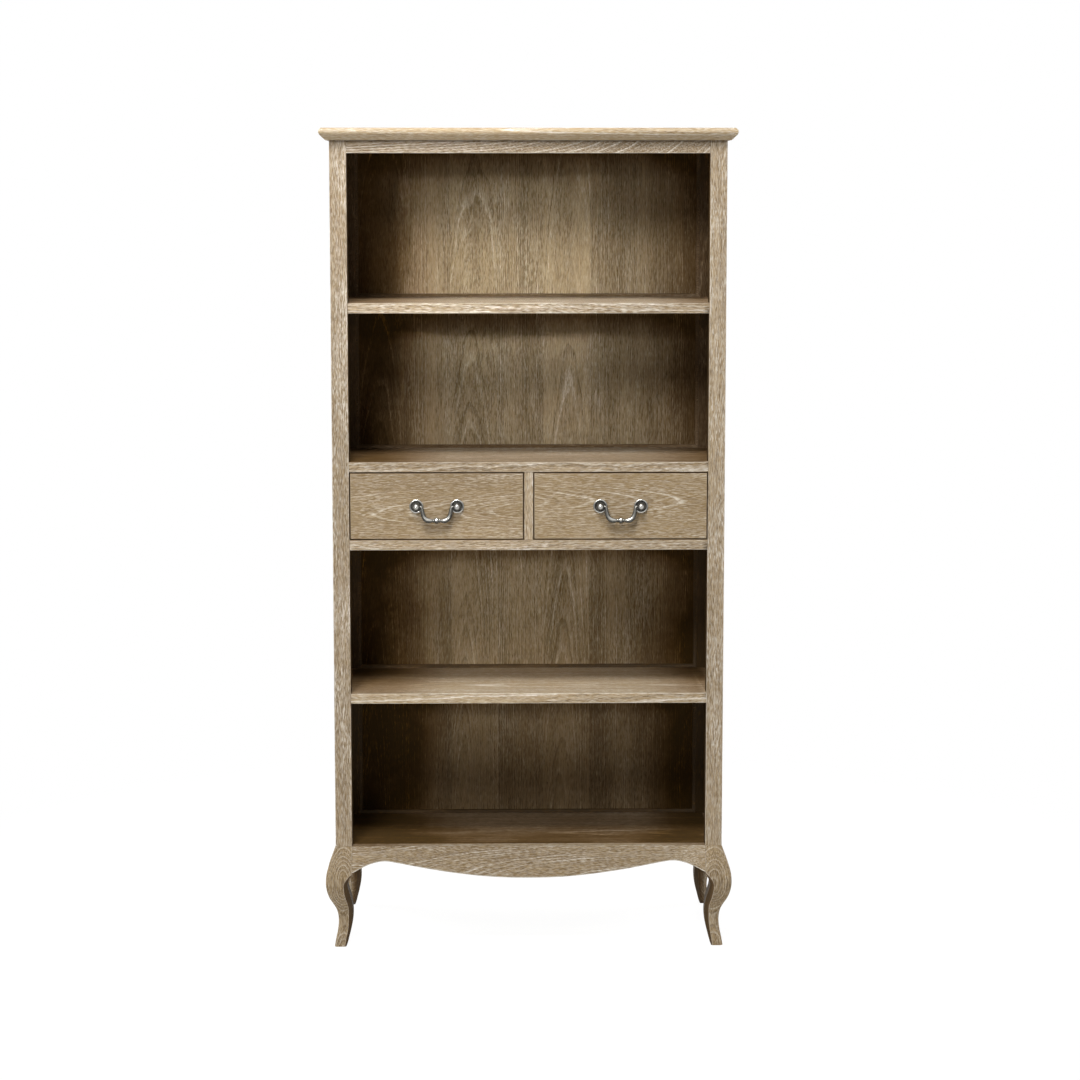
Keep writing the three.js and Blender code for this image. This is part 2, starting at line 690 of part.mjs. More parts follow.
// A drawer, its stop and its pull. Everything is placed from the middle of the drawer's opening.
function addDrawer(hand) {
  const openingInner = dividerWidth / 2;
  const middle = (handOf[hand] * (openingInner + halfOpening)) / 2;
  const halfWidth = (halfOpening - openingInner) / 2 - drawerFrontGap;
  const frontBase = bedTop + drawerFrontGap;
  const frontTop = deckBase - drawerFrontGap;
  const sideBase = bedTop + jointPlay;
  const sideTop = deckBase - drawerHeadroom;
  const bottomBase = sideBase + drawerBottomLift;
  const bottomTop = bottomBase + drawerBottomThickness;
  const innerHalf = halfWidth - drawerSideThickness;
  const bottomReach = innerHalf + drawerGrooveDepth - jointPlay;
  const pullHeight = (frontBase + frontTop) / 2;
  const backFront = drawerLength - drawerBackThickness;
  const sideLimits = (side) => [middle + side * innerHalf, middle + side * halfWidth];
  const tailHeights = [sideBase + drawerFrontGap, sideTop];
  const postCentres = [-pullCentres / 2, pullCentres / 2].map((offset) => middle + offset);

  const bottomGroove = board(
    [middle - bottomReach, middle + bottomReach], [drawerFrontThickness - drawerGrooveDepth, drawerLength + overrun],
    [bottomBase, bottomTop], jointPlay,
  );
  const sockets = [-1, 1].flatMap((side) => {
    const [inner, outer] = sideLimits(side);
    return dovetails(inner, outer + side * overrun, ...tailHeights, jointPlay);
  });
  const screwHoles = postCentres.map((x) => roundAlongY(
    screwRadius + screwPlay, x, -overrun, drawerFrontThickness + overrun, pullHeight,
  ));
  place(`${hand}_drawer_front`, cut(
    board([middle - halfWidth, middle + halfWidth], [0, drawerFrontThickness], [frontBase, frontTop]),
    bottomGroove, ...sockets, ...screwHoles,
  ), oak());

  const backLimits = [
    [middle - innerHalf - drawerBackHousing, middle + innerHalf + drawerBackHousing],
    [backFront, drawerLength], [bottomTop + jointPlay, sideTop - drawerBackDrop],
  ];
  const backHousing = board(backLimits[0], backLimits[1], [backLimits[2][0], sideTop + overrun], jointPlay);
  for (const [name, side] of [['left', -1], ['right', 1]]) {
    const plank = board(sideLimits(side), [drawerFrontThickness, drawerLength], [sideBase, sideTop]);
    place(`${hand}_drawer_${name}_side`, cut(
      joined(plank, ...dovetails(...sideLimits(side), ...tailHeights, 0)), bottomGroove, backHousing,
    ), innerOak());
  }
  place(`${hand}_drawer_back`, board(...backLimits), innerOak());
  place(`${hand}_drawer_bottom`, board(
    [middle - bottomReach, middle + bottomReach], [drawerFrontThickness - drawerGrooveDepth, drawerLength],
    [bottomBase, bottomTop],
  ), innerOak());
  place(`${hand}_drawer_stop`, board(
    [middle - stopWidth / 2, middle + stopWidth / 2],
    [drawerFrontThickness + jointPlay, drawerFrontThickness + jointPlay + stopDepth], [bedTop, bedTop + stopHeight],
  ), innerOak());
  addPull(hand, middle, pullHeight, postCentres);
}

// A rose with a raised rim and a dished face, and the ball that stands out of it
const rimOutlineShares = [[0, 0.5], [0.3, 1], [1, 0.9]];
const dishOutlineShares = [0.82, 0.42];
const neckShare = 0.5;
const ballSteps = 7;
const latheSteps = 24;

function pullPost(x, z) {
  const dishRadius = roseRadius - roseRim;
  const neckAngle = Math.asin(neckShare);
  const ball = Array.from({ length: ballSteps + 1 }, (_, i) => {
    const angle = THREE.MathUtils.lerp(neckAngle, Math.PI, i / ballSteps);
    return [ballRadius * Math.sin(angle), ballStandoff - ballRadius * Math.cos(angle)];
  });
  ball[ballSteps][0] = 0;
  const profile = [
    [0, 0], [roseRadius - roseRim / 4, 0],
    ...rimOutlineShares.map(([inward, up]) => [roseRadius - inward * roseRim, up * roseHeight]),
    ...dishOutlineShares.map((share) => [share * dishRadius, roseDish]),
    ...ball,
  ].map(([radius, height]) => new THREE.Vector2(radius, height));
  const geometry = new THREE.LatheGeometry(profile, latheSteps).rotateX(Math.PI).translate(x, 0, z);
  return toSolid(facingOut(mergeVertices(stripped(geometry))));
}

function stripped(geometry) {
  geometry.deleteAttribute('normal');
  geometry.deleteAttribute('uv');
  return geometry;
}

// The bail: pins that turn in the balls, thin arms, full bellies and a bead between two rings.
// Each row gives a place as shares of the half span and of the drop, and a share of a radius.
const armRowShares = [
  [1, 0, 0.8], [0.955, 0.07, 0.92], [0.925, 0.2, 0.96], [0.915, 0.38, 1], [0.885, 0.58, 1.12], [0.815, 0.77, 1.28],
];
const bellyRowShares = [
  [0.69, 0.91, 0.93], [0.54, 0.985, 1], [0.4, 1, 0.93], [0.28, 1, 0.72], [0.235, 1, 0.66],
  [0.205, 1, 0.9], [0.165, 1, 0.9], [0.135, 1, 0.7],
];
const beadRowShares = [[0.1, 1, 0.92], [0.035, 1, 1]];
const withRadius = (rowShares, radius) => rowShares.map(([across, down, share]) => [across, down, share * radius]);
const bailRows = [
  ...withRadius(armRowShares, bailArmRadius), ...withRadius(bellyRowShares, bailBellyRadius),
  ...withRadius(beadRowShares, bailBeadRadius),
];
const bailSides = 12;

function bail(middle, z) {
  const span = pullCentres / 2 - ballRadius - bailPlay - bailShoulder;
  const toRow = ([across, down, radius], side) => ({ x: middle + side * across * span, z: z - down * bailDrop, radius });
  const arms = [...bailRows.map((row) => toRow(row, -1)), ...[...bailRows].reverse().map((row) => toRow(row, 1))];
  const pinRoot = pullCentres / 2 - ballRadius - bailPlay;
  const pinTip = pinRoot + bailPlay + bailPinLength;
  const pinEnd = (side) => [
    { x: middle + side * pinTip, z, radius: bailPinRadius },
    { x: middle + side * (pinRoot + bailPlay / 2), z, radius: bailPinRadius },
    { x: middle + side * pinRoot, z, radius: (bailPinRadius + bailArmRadius) / 2 },
  ];
  const rows = [...pinEnd(-1), ...arms, ...pinEnd(1).reverse()];
  return loft(rows.map((row, i) => {
    const before = rows[Math.max(0, i - 1)];
    const after = rows[Math.min(rows.length - 1, i + 1)];
    const run = new THREE.Vector2(after.x - before.x, after.z - before.z).normalize();
    return Array.from({ length: bailSides }, (_, k) => {
      const angle = (2 * Math.PI * k) / bailSides;
      const across = row.radius * Math.cos(angle);
      return new THREE.Vector3(
        row.x - run.y * across, -ballStandoff + row.radius * Math.sin(angle), row.z + run.x * across,
      );
    });
  }));
}

function addPull(hand, middle, z, postCentres) {
  for (const [name, side] of [['left', -1], ['right', 1]]) {
    const x = postCentres[side < 0 ? 0 : 1];
    const inwardFace = x - side * (ballRadius + overrun);
    const pinHole = roundAlongX(
      bailPinRadius + bailPlay, inwardFace, x - side * (ballRadius - bailPinLength - bailPlay), -ballStandoff, z,
    );
    const screwHole = roundAlongY(screwRadius + screwPlay, x, -screwBite - screwPlay, overrun, z);
    place(`${hand}_pull_${name}_post`, cut(pullPost(x, z), pinHole, screwHole), pewter());

    const shank = roundAlongY(screwRadius, x, -screwBite, drawerFrontThickness + screwHeadHeight / 2, z);
    const head = roundAlongY(
      screwHeadRadius, x, drawerFrontThickness, drawerFrontThickness + screwHeadHeight, z,
    );
    place(`${hand}_pull_${name}_screw`, joined(head, shank), steel());
  }
  place(`${hand}_pull_bail`, bail(middle, z), pewter());
}

addFrame();
addAprons();
addCornerBlocks();
addShelves();
addBackBeads();
addDrawerBed();
for (const hand of hands) addDrawer(hand);

export default bookcase;
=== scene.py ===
"""Open bookcase in limed oak with two drawers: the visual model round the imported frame.

Lengths are metres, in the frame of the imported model: X across the case, Y from front to back,
Z up from the floor. Every wooden piece carries the place of each of its points in the log it
was sawn from, so that one grain pattern gives straight figure, cathedrals and end grain alike.
"""
import logging
import math
import random
from dataclasses import dataclass, replace
from enum import Enum
from functools import partial, reduce
from typing import Callable, Sequence, Union

import bmesh
import bpy
from mathutils import Euler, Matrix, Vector, noise


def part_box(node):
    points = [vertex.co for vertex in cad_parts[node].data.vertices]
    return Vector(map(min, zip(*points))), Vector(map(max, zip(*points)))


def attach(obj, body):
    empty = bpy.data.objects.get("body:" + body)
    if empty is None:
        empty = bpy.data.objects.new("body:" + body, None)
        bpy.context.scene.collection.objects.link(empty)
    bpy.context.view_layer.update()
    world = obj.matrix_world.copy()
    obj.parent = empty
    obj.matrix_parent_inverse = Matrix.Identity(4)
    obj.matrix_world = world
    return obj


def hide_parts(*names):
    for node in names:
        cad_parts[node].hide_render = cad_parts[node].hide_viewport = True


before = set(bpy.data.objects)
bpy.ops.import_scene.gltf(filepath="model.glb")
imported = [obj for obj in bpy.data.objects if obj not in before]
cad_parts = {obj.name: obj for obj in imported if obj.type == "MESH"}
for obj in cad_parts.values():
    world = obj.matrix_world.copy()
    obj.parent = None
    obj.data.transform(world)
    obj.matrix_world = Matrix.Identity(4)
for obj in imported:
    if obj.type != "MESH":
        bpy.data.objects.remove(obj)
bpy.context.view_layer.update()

LOG = logging.getLogger("bookcase")
MM = 0.001
HANDS = {"left": -1, "right": 1}
ENDS = ("front", "rear")
BAYS = ("top", "upper", "middle", "bottom")

FLAT_ANGLE = math.radians(0.5)
SHARP_ANGLE = math.radians(35)
CREASE_ANGLE = math.radians(38)
CLIMB_SHARE = 0.3
MERGE_DISTANCE = 1e-6
STATION = 0.04
EXACT_DIGITS = 9
CLOSE_DIGITS = 6

Rows = Sequence[Sequence[float]]
Pair = tuple[float, float]
Triple = tuple[float, float, float]
# How dark the patina and the painted shade lie at a point of a casting, by the point and its normal.
PatinaAndShadeAt = Callable[[Vector, Vector], float]
Socket = bpy.types.NodeSocket
Value = Union[float, Socket]


class Grain(Enum):
    """Which way the grain of a piece runs; the value is the axis."""

    ACROSS = 0
    FORE_AND_AFT = 1
    UPRIGHT = 2


class Sawing(Enum):
    """How a board lies in its log: the pith's distance across the board and through it."""

    HEART = (0.006, 0.07)
    FLAT = (0.012, 0.046)
    SLAB = (0.05, 0.11)
    RIFT = (0.06, 0.05)
    QUARTER = (0.085, 0.012)


class Slot(Enum):
    """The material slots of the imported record."""

    OAK = "limed_oak"
    VENEER = "back_veneer"
    BOX_OAK = "drawer_box_oak"
    PEWTER = "pewter"
    STEEL = "screw_steel"


@dataclass(frozen=True)
class Cut:
    """How a piece was cut from its log.

    Attributes:
        grain: The axis along which the grain runs.
        sawing: Where the pith lies.
        lean: Slope of the pith to the board; more lean gives shorter cathedrals.
        tone: How much paler than the rest of its kind the piece is.
        bow: How fast the pith bends away from the board, in one over metres.
        seed: A number that chooses another stretch of the log.
        outward: The axis that points out from the pith, where it isn't the thinner one.
        painted_shade: How much painted shade its upper face gets.
    """

    grain: Grain
    sawing: Sawing = Sawing.RIFT
    lean: float = 0.035
    tone: float = 0.0
    bow: float = 0.0
    seed: int = 0
    outward: Grain | None = None
    painted_shade: float = 0.0


@dataclass(frozen=True)
class LogPlace:
    """Turns a point of a board into its place in the log: along the pith and out from it.

    Attributes:
        axes: The axes along the grain, across the log and through it.
        middle: The board's middle.
        start: How far up the log the board lies.
        pith: The pith's place, across and through, seen from the board's middle.
        lean: The pith's slope, across and through.
        bow: How fast the pith bends away from the board.
    """

    axes: tuple[int, int, int]
    middle: Triple
    start: float
    pith: Pair
    lean: Pair
    bow: float

    LOG_LENGTH = 20
    ACROSS_DRAW = (0.7, 1.3)
    THROUGH_DRAW = (0.8, 1.25)
    SIDE_LEAN_DRAW = (-0.4, 0.4)
    LEAN_DRAW = (0.8, 1.2)

    @classmethod
    def drawn(cls, name: str, cut: Cut, low: Sequence[float], high: Sequence[float]) -> "LogPlace":
        """Draws a board's place in its log.

        Args:
            name: The piece's name, which seeds the draw.
            cut: How the piece was cut.
            low: The board's lowest corner.
            high: The board's highest corner.

        Returns:
            The place.
        """
        draw = random.Random(f"{name} {cut.seed}")
        along = cut.grain.value
        through, across = sorted((i for i in range(3) if i != along), key=lambda i: high[i] - low[i])
        if cut.outward is not None and cut.outward.value != through:
            through, across = across, through
        pith_across, pith_through = cut.sawing.value
        return cls(
            axes=(along, across, through),
            middle=tuple((a + b) / 2 for a, b in zip(low, high)),
            start=draw.uniform(0, cls.LOG_LENGTH),
            pith=(
                pith_across * draw.choice((-1, 1)) * draw.uniform(*cls.ACROSS_DRAW),
                pith_through * draw.uniform(*cls.THROUGH_DRAW),
            ),
            lean=(
                draw.uniform(*cls.SIDE_LEAN_DRAW) * cut.lean,
                draw.choice((-1, 1)) * draw.uniform(*cls.LEAN_DRAW) * cut.lean,
            ),
            bow=cut.bow,
        )

    def of(self, point: Sequence[float]) -> Triple:
        """Gives a point's place in the log."""
        u, v, w = (point[axis] - self.middle[axis] for axis in self.axes)
        return (
            self.start + u,
            v + self.pith[0] + self.lean[0] * u,
            w + self.pith[1] + self.lean[1] * u + self.bow * u * u,
        )


def eased_step(value: float, low: float, high: float) -> float:
    """Rises smoothly from 0 to 1."""
    share = max(0.0, min(1.0, (value - low) / (high - low)))
    return share * share * (3 - 2 * share)


@dataclass(frozen=True)
class PaintedShade:
    """Painted shade: a darker colour at the back's sides, under the shelves, on undersides and inner sides, low
    in the bays and in the drawer gaps.

    A face counts as looking some way by its normal's part that way: not at all below the first
    of two limits, and wholly above the second.

    Attributes:
        bay_tops: Height of the top of each open bay, from the lowest up.
        top_depth: How far above the highest bay it is found.
        opening: Half the width of the bays.
        middle: The place across the case with the least painted shade.
        start: Distance from there at which the painted shade starts.
        drawer_bay: Lowest and highest point of the drawers' opening.
        gap: Width of the gap beside the drawers.
        gap_depth: How far back it reaches in the gaps round the drawers.
        back_from: The place from which a point belongs to the back.
        back_margin: How far the back runs on beside the opening.
        side_margin: How far inside the opening a face still belongs to its side.
        shade: How far it reaches down from under a shelf.
        low_bays: Heights between which it fades out of the lower bays' back.
        sides: Its share on the faces that look into the bays.
        back_sides: Its share on the back, at the sides of the bays.
        undersides: Its share on the undersides.
        under: Its share on the back, right under a shelf.
        low: Its share on the back of the lowest bay.
        shelf_sides: How much more the upper faces keep at their sides.
        rearward: Limit above which a face looks to the rear.
        forward: Limits for a face that looks forward.
        inward: Limits for a face that looks into the bays.
        downward: Limits for an underside.
        upward: Limits for an upper face.
    """

    bay_tops: tuple[float, ...]
    top_depth: float = 4 * MM
    opening: float = 0.4225
    middle: float = 0.04
    start: float = 0.2
    drawer_bay: Pair = (0.985, 1.1485)
    gap: float = 2 * MM
    gap_depth: float = -0.165
    back_from: float = 0.13
    back_margin: float = 0.024
    side_margin: float = 0.02
    shade: float = 0.1
    low_bays: Pair = (0.35, 1.15)
    sides: float = 1.2
    back_sides: float = 0.82
    undersides: float = 0.7
    under: float = 0.92
    low: float = 0.45
    shelf_sides: float = 0.5
    rearward: float = 0.5
    forward: Pair = (0.8, 0.99)
    inward: Pair = (0.4, 0.8)
    downward: Pair = (0.8, 0.95)
    upward: Pair = (0.6, 0.9)

    def at(self, point: Vector, facing: Vector, upper: float) -> float:
        """Tells how much painted shade a point gets.

        Args:
            point: The point, at rest.
            facing: The outward normal there.
            upper: The share that the piece's upper face keeps in the middle.

        Returns:
            The share, from 0 to 1.
        """
        if point.z > self.bay_tops[-1] + self.top_depth:
            return 0.0
        across = abs(point.x)
        side = eased_step(abs(point.x - self.middle), self.start, self.opening)
        if point.y > self.back_from and facing.y < self.rearward and across < self.opening + self.back_margin:
            below = min([top - point.z for top in self.bay_tops if top - point.z > -MM] or [self.shade])
            low = self.low * (1 - eased_step(point.z, *self.low_bays))
            under = self.under * (1 - eased_step(below, 0.0, self.shade))
            return min(1.0, low + self.back_sides * side + under)
        if self.drawer_bay[0] <= point.z <= self.drawer_bay[1] and across < self.opening + self.gap:
            return 1 - eased_step(-facing.y, *self.forward) if point.y < self.gap_depth else 0.0
        beside = across > self.opening - self.side_margin
        inwards = -math.copysign(facing.x, facing.x * point.x) if beside else 0.0
        return max(
            self.undersides * eased_step(-facing.z, *self.downward),
            self.sides * eased_step(inwards, *self.inward),
            min(1.0, upper + self.shelf_sides * side) * eased_step(facing.z, *self.upward),
        )


# The painted shade, laid out by the tops of the open bays.
PAINTED_SHADE = PaintedShade(tuple(sorted(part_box(f"{bay}_bay_bead")[1][2] for bay in BAYS)))


def place_in_scene(name: str, data: bpy.types.ID) -> bpy.types.Object:
    """Makes an object and puts it in the scene.

    Args:
        name: Name of the object.
        data: Its mesh, lamp or camera.

    Returns:
        The object.
    """
    made = bpy.data.objects.new(name, data)
    bpy.context.scene.collection.objects.link(made)
    return made


def spot(point: Vector, digits: int) -> tuple[float, ...]:
    """Rounds a point, so that equal places compare as equal."""
    return tuple(round(c, digits) for c in point)


def is_upright(edge: bmesh.types.BMEdge) -> bool:
    """Tells whether an edge climbs, rather than running level."""
    rise = abs(edge.verts[0].co.z - edge.verts[1].co.z)
    return rise > CLIMB_SHARE * edge.calc_length()


class Workpiece:
    """One piece on the bench: a mesh being worked, then finished and hung on its body.

    Attributes:
        name: Name of the piece.
        bm: Its mesh.
        eased: The face layer that marks the eased arrises.
    """

    WEAR_MEAN = 0.5
    WEAR_WAVE = 0.5
    WEAR_RIPPLE = 0.35
    RIPPLES = 3.1
    EASED_SIDE = 0.4
    TONE_DRAW = 0.05
    FACE_WEIGHT = 50

    def __init__(self, name: str) -> None:
        """Starts an empty piece.

        Args:
            name: Name of the piece.
        """
        self.name = name
        self.bm = bmesh.new()
        self.eased = self.bm.faces.layers.int.new("eased")

    @classmethod
    def from_node(cls, node: str) -> "Workpiece":
        """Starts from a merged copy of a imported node, its flat faces made whole.

        Args:
            node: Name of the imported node.

        Returns:
            The new piece.
        """
        piece = cls(f"{node}_finished")
        bm = piece.bm
        bm.from_mesh(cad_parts[node].data)
        piece.eased = bm.faces.layers.int.get("eased") or bm.faces.layers.int.new("eased")
        bmesh.ops.remove_doubles(bm, verts=bm.verts, dist=MERGE_DISTANCE)
        bmesh.ops.dissolve_limit(bm, angle_limit=FLAT_ANGLE, verts=bm.verts, edges=bm.edges, delimit=set())
        return piece

    def ease(
        self, offset: float, shortest: float = 0.05, segments: int = 3,
        where: Callable[[bmesh.types.BMEdge], bool] | None = None,
    ) -> "Workpiece":
        """Rounds the piece's outer arrises.

        Args:
            offset: Width of the easing on each face.
            shortest: Edges shorter than this stay crisp, such as those of a tenon.
            segments: Steps round the arris.
            where: A test that an edge has to pass, if only some are eased.

        Returns:
            The piece itself.
        """
        edges = [
            e for e in self.bm.edges
            if e.is_manifold and e.is_convex and e.calc_face_angle(0) > SHARP_ANGLE
            and e.calc_length() > shortest and (where is None or where(e))
        ]
        made = bmesh.ops.bevel(
            self.bm, geom=edges, offset=offset, offset_type="OFFSET", segments=segments, profile=0.5,
            affect="EDGES", clamp_overlap=True, material=-1,
        )
        for face in made["faces"]:
            face[self.eased] = 1
        return self

    def stations(self, axis: int, step: float = STATION) -> "Workpiece":
        """Cuts loops across the piece, so that it can be shaped.

        Args:
            axis: The axis that the loops cut.
            step: Distance from loop to loop.

        Returns:
            The piece itself.
        """
        places = [v.co[axis] for v in self.bm.verts]
        low, high = min(places), max(places)
        count = int((high - low) / step)
        for i in range(1, count):
            self.part_at(axis, low + (high - low) * i / count)
        return self

    def part_at(self, axis: int, place: float) -> None:
        """Cuts one loop across the piece.

        Args:
            axis: The axis that it cuts.
            place: Where it cuts it.
        """
        normal = Vector([float(i == axis) for i in range(3)])
        geom = [*self.bm.verts, *self.bm.edges, *self.bm.faces]
        bmesh.ops.bisect_plane(
            self.bm, geom=geom, dist=MERGE_DISTANCE, plane_co=normal * place, plane_no=normal
        )

    def wear(self, depth: float, pitch: float = 0.06) -> "Workpiece":
        """Rubs the eased arrises down unevenly.

        Args:
            depth: How far down, at most.
            pitch: Length of the waves of wear.

        Returns:
            The piece itself.
        """
        self.bm.normal_update()
        worn = {v for f in self.bm.faces if f[self.eased] for v in f.verts}
        offsets = {}
        for v in worn:
            wave = self.WEAR_WAVE * noise.noise(v.co / pitch)
            rub = self.WEAR_MEAN + wave + self.WEAR_RIPPLE * noise.noise(v.co / pitch * self.RIPPLES)
            offsets[v] = -v.normal * depth * max(0.0, min(1.0, rub))
        for v, offset in offsets.items():
            v.co += offset
        return self

    def finish(
        self, body: str, slot: Slot, material: bpy.types.Material, nodes: Sequence[str],
        cut: Cut | None = None, leaves: "Leaves | None" = None, patina_and_shade_at: PatinaAndShadeAt | None = None,
    ) -> bpy.types.Object:
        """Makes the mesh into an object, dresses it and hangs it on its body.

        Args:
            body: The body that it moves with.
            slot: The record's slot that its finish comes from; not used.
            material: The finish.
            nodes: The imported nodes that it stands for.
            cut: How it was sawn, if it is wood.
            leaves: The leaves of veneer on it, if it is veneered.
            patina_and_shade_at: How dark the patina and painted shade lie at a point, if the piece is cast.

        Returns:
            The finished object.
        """
        mesh = bpy.data.meshes.new(self.name)
        self.bm.normal_update()
        for face in self.bm.faces:
            face.smooth = True
        self.bm.to_mesh(mesh)
        mesh.set_sharp_from_angle(angle=CREASE_ANGLE)
        self.mark_eased(mesh)
        if cut is not None:
            self.lay_in_log(mesh, cut, leaves)
            # Painted shade: darker corners, undersides and gaps, written into each corner of the mesh.
            self.mark_painted_shade(mesh, cut.painted_shade)
        if patina_and_shade_at is not None:
            self.mark_patina_and_shade(mesh, patina_and_shade_at)
        self.bm.free()
        mesh.materials.clear()
        mesh.materials.append(material)
        piece = place_in_scene(self.name, mesh)
        normals = piece.modifiers.new("even_shading", "WEIGHTED_NORMAL")
        normals.keep_sharp = True
        normals.weight = self.FACE_WEIGHT
        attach(piece, body)
        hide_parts(*nodes)
        LOG.info("%s: %d faces on %s", self.name, len(mesh.polygons), body)
        return piece

    def mark_eased(self, mesh: bpy.types.Mesh) -> None:
        """Writes the arris mask: full in the middle of an eased arris, weak at its sides.

        Args:
            mesh: The piece's finished mesh.
        """
        values = [0.0] * len(mesh.loops)
        inner = {v.index for v in self.bm.verts if all(f[self.eased] for f in v.link_faces)}
        for face, polygon in zip(self.bm.faces, mesh.polygons):
            if face[self.eased]:
                for loop in polygon.loop_indices:
                    values[loop] = 1.0 if mesh.loops[loop].vertex_index in inner else self.EASED_SIDE
        mesh.attributes.new("arris", "FLOAT", "CORNER").data.foreach_set("value", values)

    def lay_in_log(self, mesh: bpy.types.Mesh, cut: Cut, leaves: "Leaves | None") -> None:
        """Writes each corner's place in the log, leaf by leaf where the piece is veneered.

        Args:
            mesh: The piece's finished mesh.
            cut: How it was sawn.
            leaves: The leaves of veneer on it, if it is veneered.
        """
        corners = [v.co for v in mesh.vertices]
        low = [min(c[i] for c in corners) for i in range(3)]
        high = [max(c[i] for c in corners) for i in range(3)]
        board = LogPlace.drawn(self.name, cut, low, high)
        shade = cut.tone + random.Random(self.name).uniform(-self.TONE_DRAW, self.TONE_DRAW)
        places, tones = [0.0] * (3 * len(mesh.loops)), [shade] * len(mesh.loops)
        for polygon in mesh.polygons:
            place = leaves.place(board, polygon.center.x) if leaves else board
            for loop in polygon.loop_indices:
                places[3 * loop:3 * loop + 3] = place.of(corners[mesh.loops[loop].vertex_index])
                tones[loop] += leaves.tone(polygon.center.x) if leaves else 0.0
        mesh.attributes.new("log_place", "FLOAT_VECTOR", "CORNER").data.foreach_set("vector", places)
        mesh.attributes.new("tone", "FLOAT", "CORNER").data.foreach_set("value", tones)

    def mark_painted_shade(self, mesh: bpy.types.Mesh, upper: float) -> None:
        """Writes how much painted shade each corner gets."""
        values = [
            PAINTED_SHADE.at(mesh.vertices[loop.vertex_index].co, corner.vector, upper)
            for loop, corner in zip(mesh.loops, mesh.corner_normals)
        ]
        mesh.attributes.new("painted_shade", "FLOAT", "CORNER").data.foreach_set("value", values)

    def mark_patina_and_shade(self, mesh: bpy.types.Mesh, patina_and_shade_at: PatinaAndShadeAt) -> None:
        """Writes how dark the patina and painted shade lie at each point of a casting, from 0 to 1."""
        patina_and_shade = mesh.attributes.new("patina_and_shade", "FLOAT", "POINT")
        patina_and_shade.data.foreach_set("value", [patina_and_shade_at(v.co, v.normal) for v in mesh.vertices])


def dress_node(
    node: str, material: bpy.types.Material, cut: Cut, ease: float = 0.0, worn: float = 0.0,
    shortest: float = 0.05, body: str = "case", slot: Slot = Slot.OAK,
) -> bpy.types.Object:
    """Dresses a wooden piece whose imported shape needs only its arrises.

    Args:
        node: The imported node.
        material: The finish.
        cut: How it was sawn.
        ease: Width of its eased arrises, if it has any.
        worn: Depth of the wear on them, if they are worn.
        shortest: Edges shorter than this stay crisp.
        body: The body that it moves with.
        slot: The record's slot that its finish comes from.

    Returns:
        The finished object.
    """
    piece = Workpiece.from_node(node)
    if ease > 0:
        piece.ease(ease, shortest)
    if worn > 0:
        piece.stations(cut.grain.value).wear(worn)
    return piece.finish(body, slot, material, [node], cut)


@dataclass(frozen=True)
class Leaves:
    """Upright leaves of veneer, laid side by side, each from another log.

    Attributes:
        width: Of a leaf.
        first_middle: Where the middle of one leaf lies across the case.
        hearts: Numbers of the leaves that show cathedrals.
        off_heart: How far to the side of its log's heart such a leaf may lie.
        heart_depth: Limits of its distance from the heart, as shares of the board's.
        heart_lean: Limits of its lean, as shares of the board's.
        plain_pith: Place of the pith, across and through, beside the other leaves.
        plain_draw: Limits of the share by which that place is moved out.
        plain_lean: Their share of the lean.
        log_step: How much further up the log each leaf lies.
        tones: How much paler or darker a leaf may be.
    """

    width: float = 0.115
    first_middle: float = -0.133
    hearts: tuple[int, ...] = (-2, 0, 2)
    off_heart: float = 0.012
    heart_depth: Pair = (0.9, 1.3)
    heart_lean: Pair = (0.7, 1.2)
    plain_pith: Pair = (0.08, 0.02)
    plain_draw: Pair = (0.8, 1.3)
    plain_lean: float = 0.1
    log_step: float = 2.0
    tones: float = 0.09

    def number(self, x: float) -> int:
        """Gives the number of a leaf."""
        return round((x - self.first_middle) / self.width)

    def seams(self, low: float, high: float) -> list[float]:
        """Lists the seams between two limits.

        Args:
            low: The first limit.
            high: The second limit.

        Returns:
            The places of the seams across the case.
        """
        start = self.first_middle + self.width / 2
        seams = [start + self.width * i for i in range(self.number(low) - 1, self.number(high) + 1)]
        return [seam for seam in seams if low < seam < high]

    def place(self, board: LogPlace, x: float) -> LogPlace:
        """Gives the place of a leaf in its log.

        Args:
            board: The place of the whole board.
            x: Where the leaf lies across the case.

        Returns:
            The leaf's place.
        """
        number = self.number(x)
        draw = random.Random(f"leaf {number}")
        middle = (self.first_middle + self.width * number, *board.middle[1:])
        if number in self.hearts:
            off_heart = draw.uniform(-self.off_heart, self.off_heart)
            pith = (off_heart, board.pith[1] * draw.uniform(*self.heart_depth))
            lean = (board.lean[0], abs(board.lean[1]) * draw.uniform(*self.heart_lean))
        else:
            across = draw.choice((-1, 1)) * self.plain_pith[0] * draw.uniform(*self.plain_draw)
            pith = (across, self.plain_pith[1])
            lean = (board.lean[0] * self.plain_lean, board.lean[1] * self.plain_lean)
        return replace(board, middle=middle, pith=pith, lean=lean, start=board.start + self.log_step * number)

    def tone(self, x: float) -> float:
        """Gives the tone of a leaf."""
        return random.Random(f"tone of leaf {self.number(x)}").uniform(-self.tones, self.tones)


@dataclass(frozen=True)
class Speckle:
    """A noise that is cut to a mask.

    Attributes:
        waves: Its waves to the metre on each axis.
        low: The noise at which the mask is at its first level.
        high: The noise at which it is at its second level.
        detail: Octaves of the noise.
        rough: How strong each finer octave is.
        levels: The mask's two levels.
    """

    waves: Triple
    low: float
    high: float
    detail: float = 2.0
    rough: float = 0.5
    levels: Pair = (0.0, 1.0)


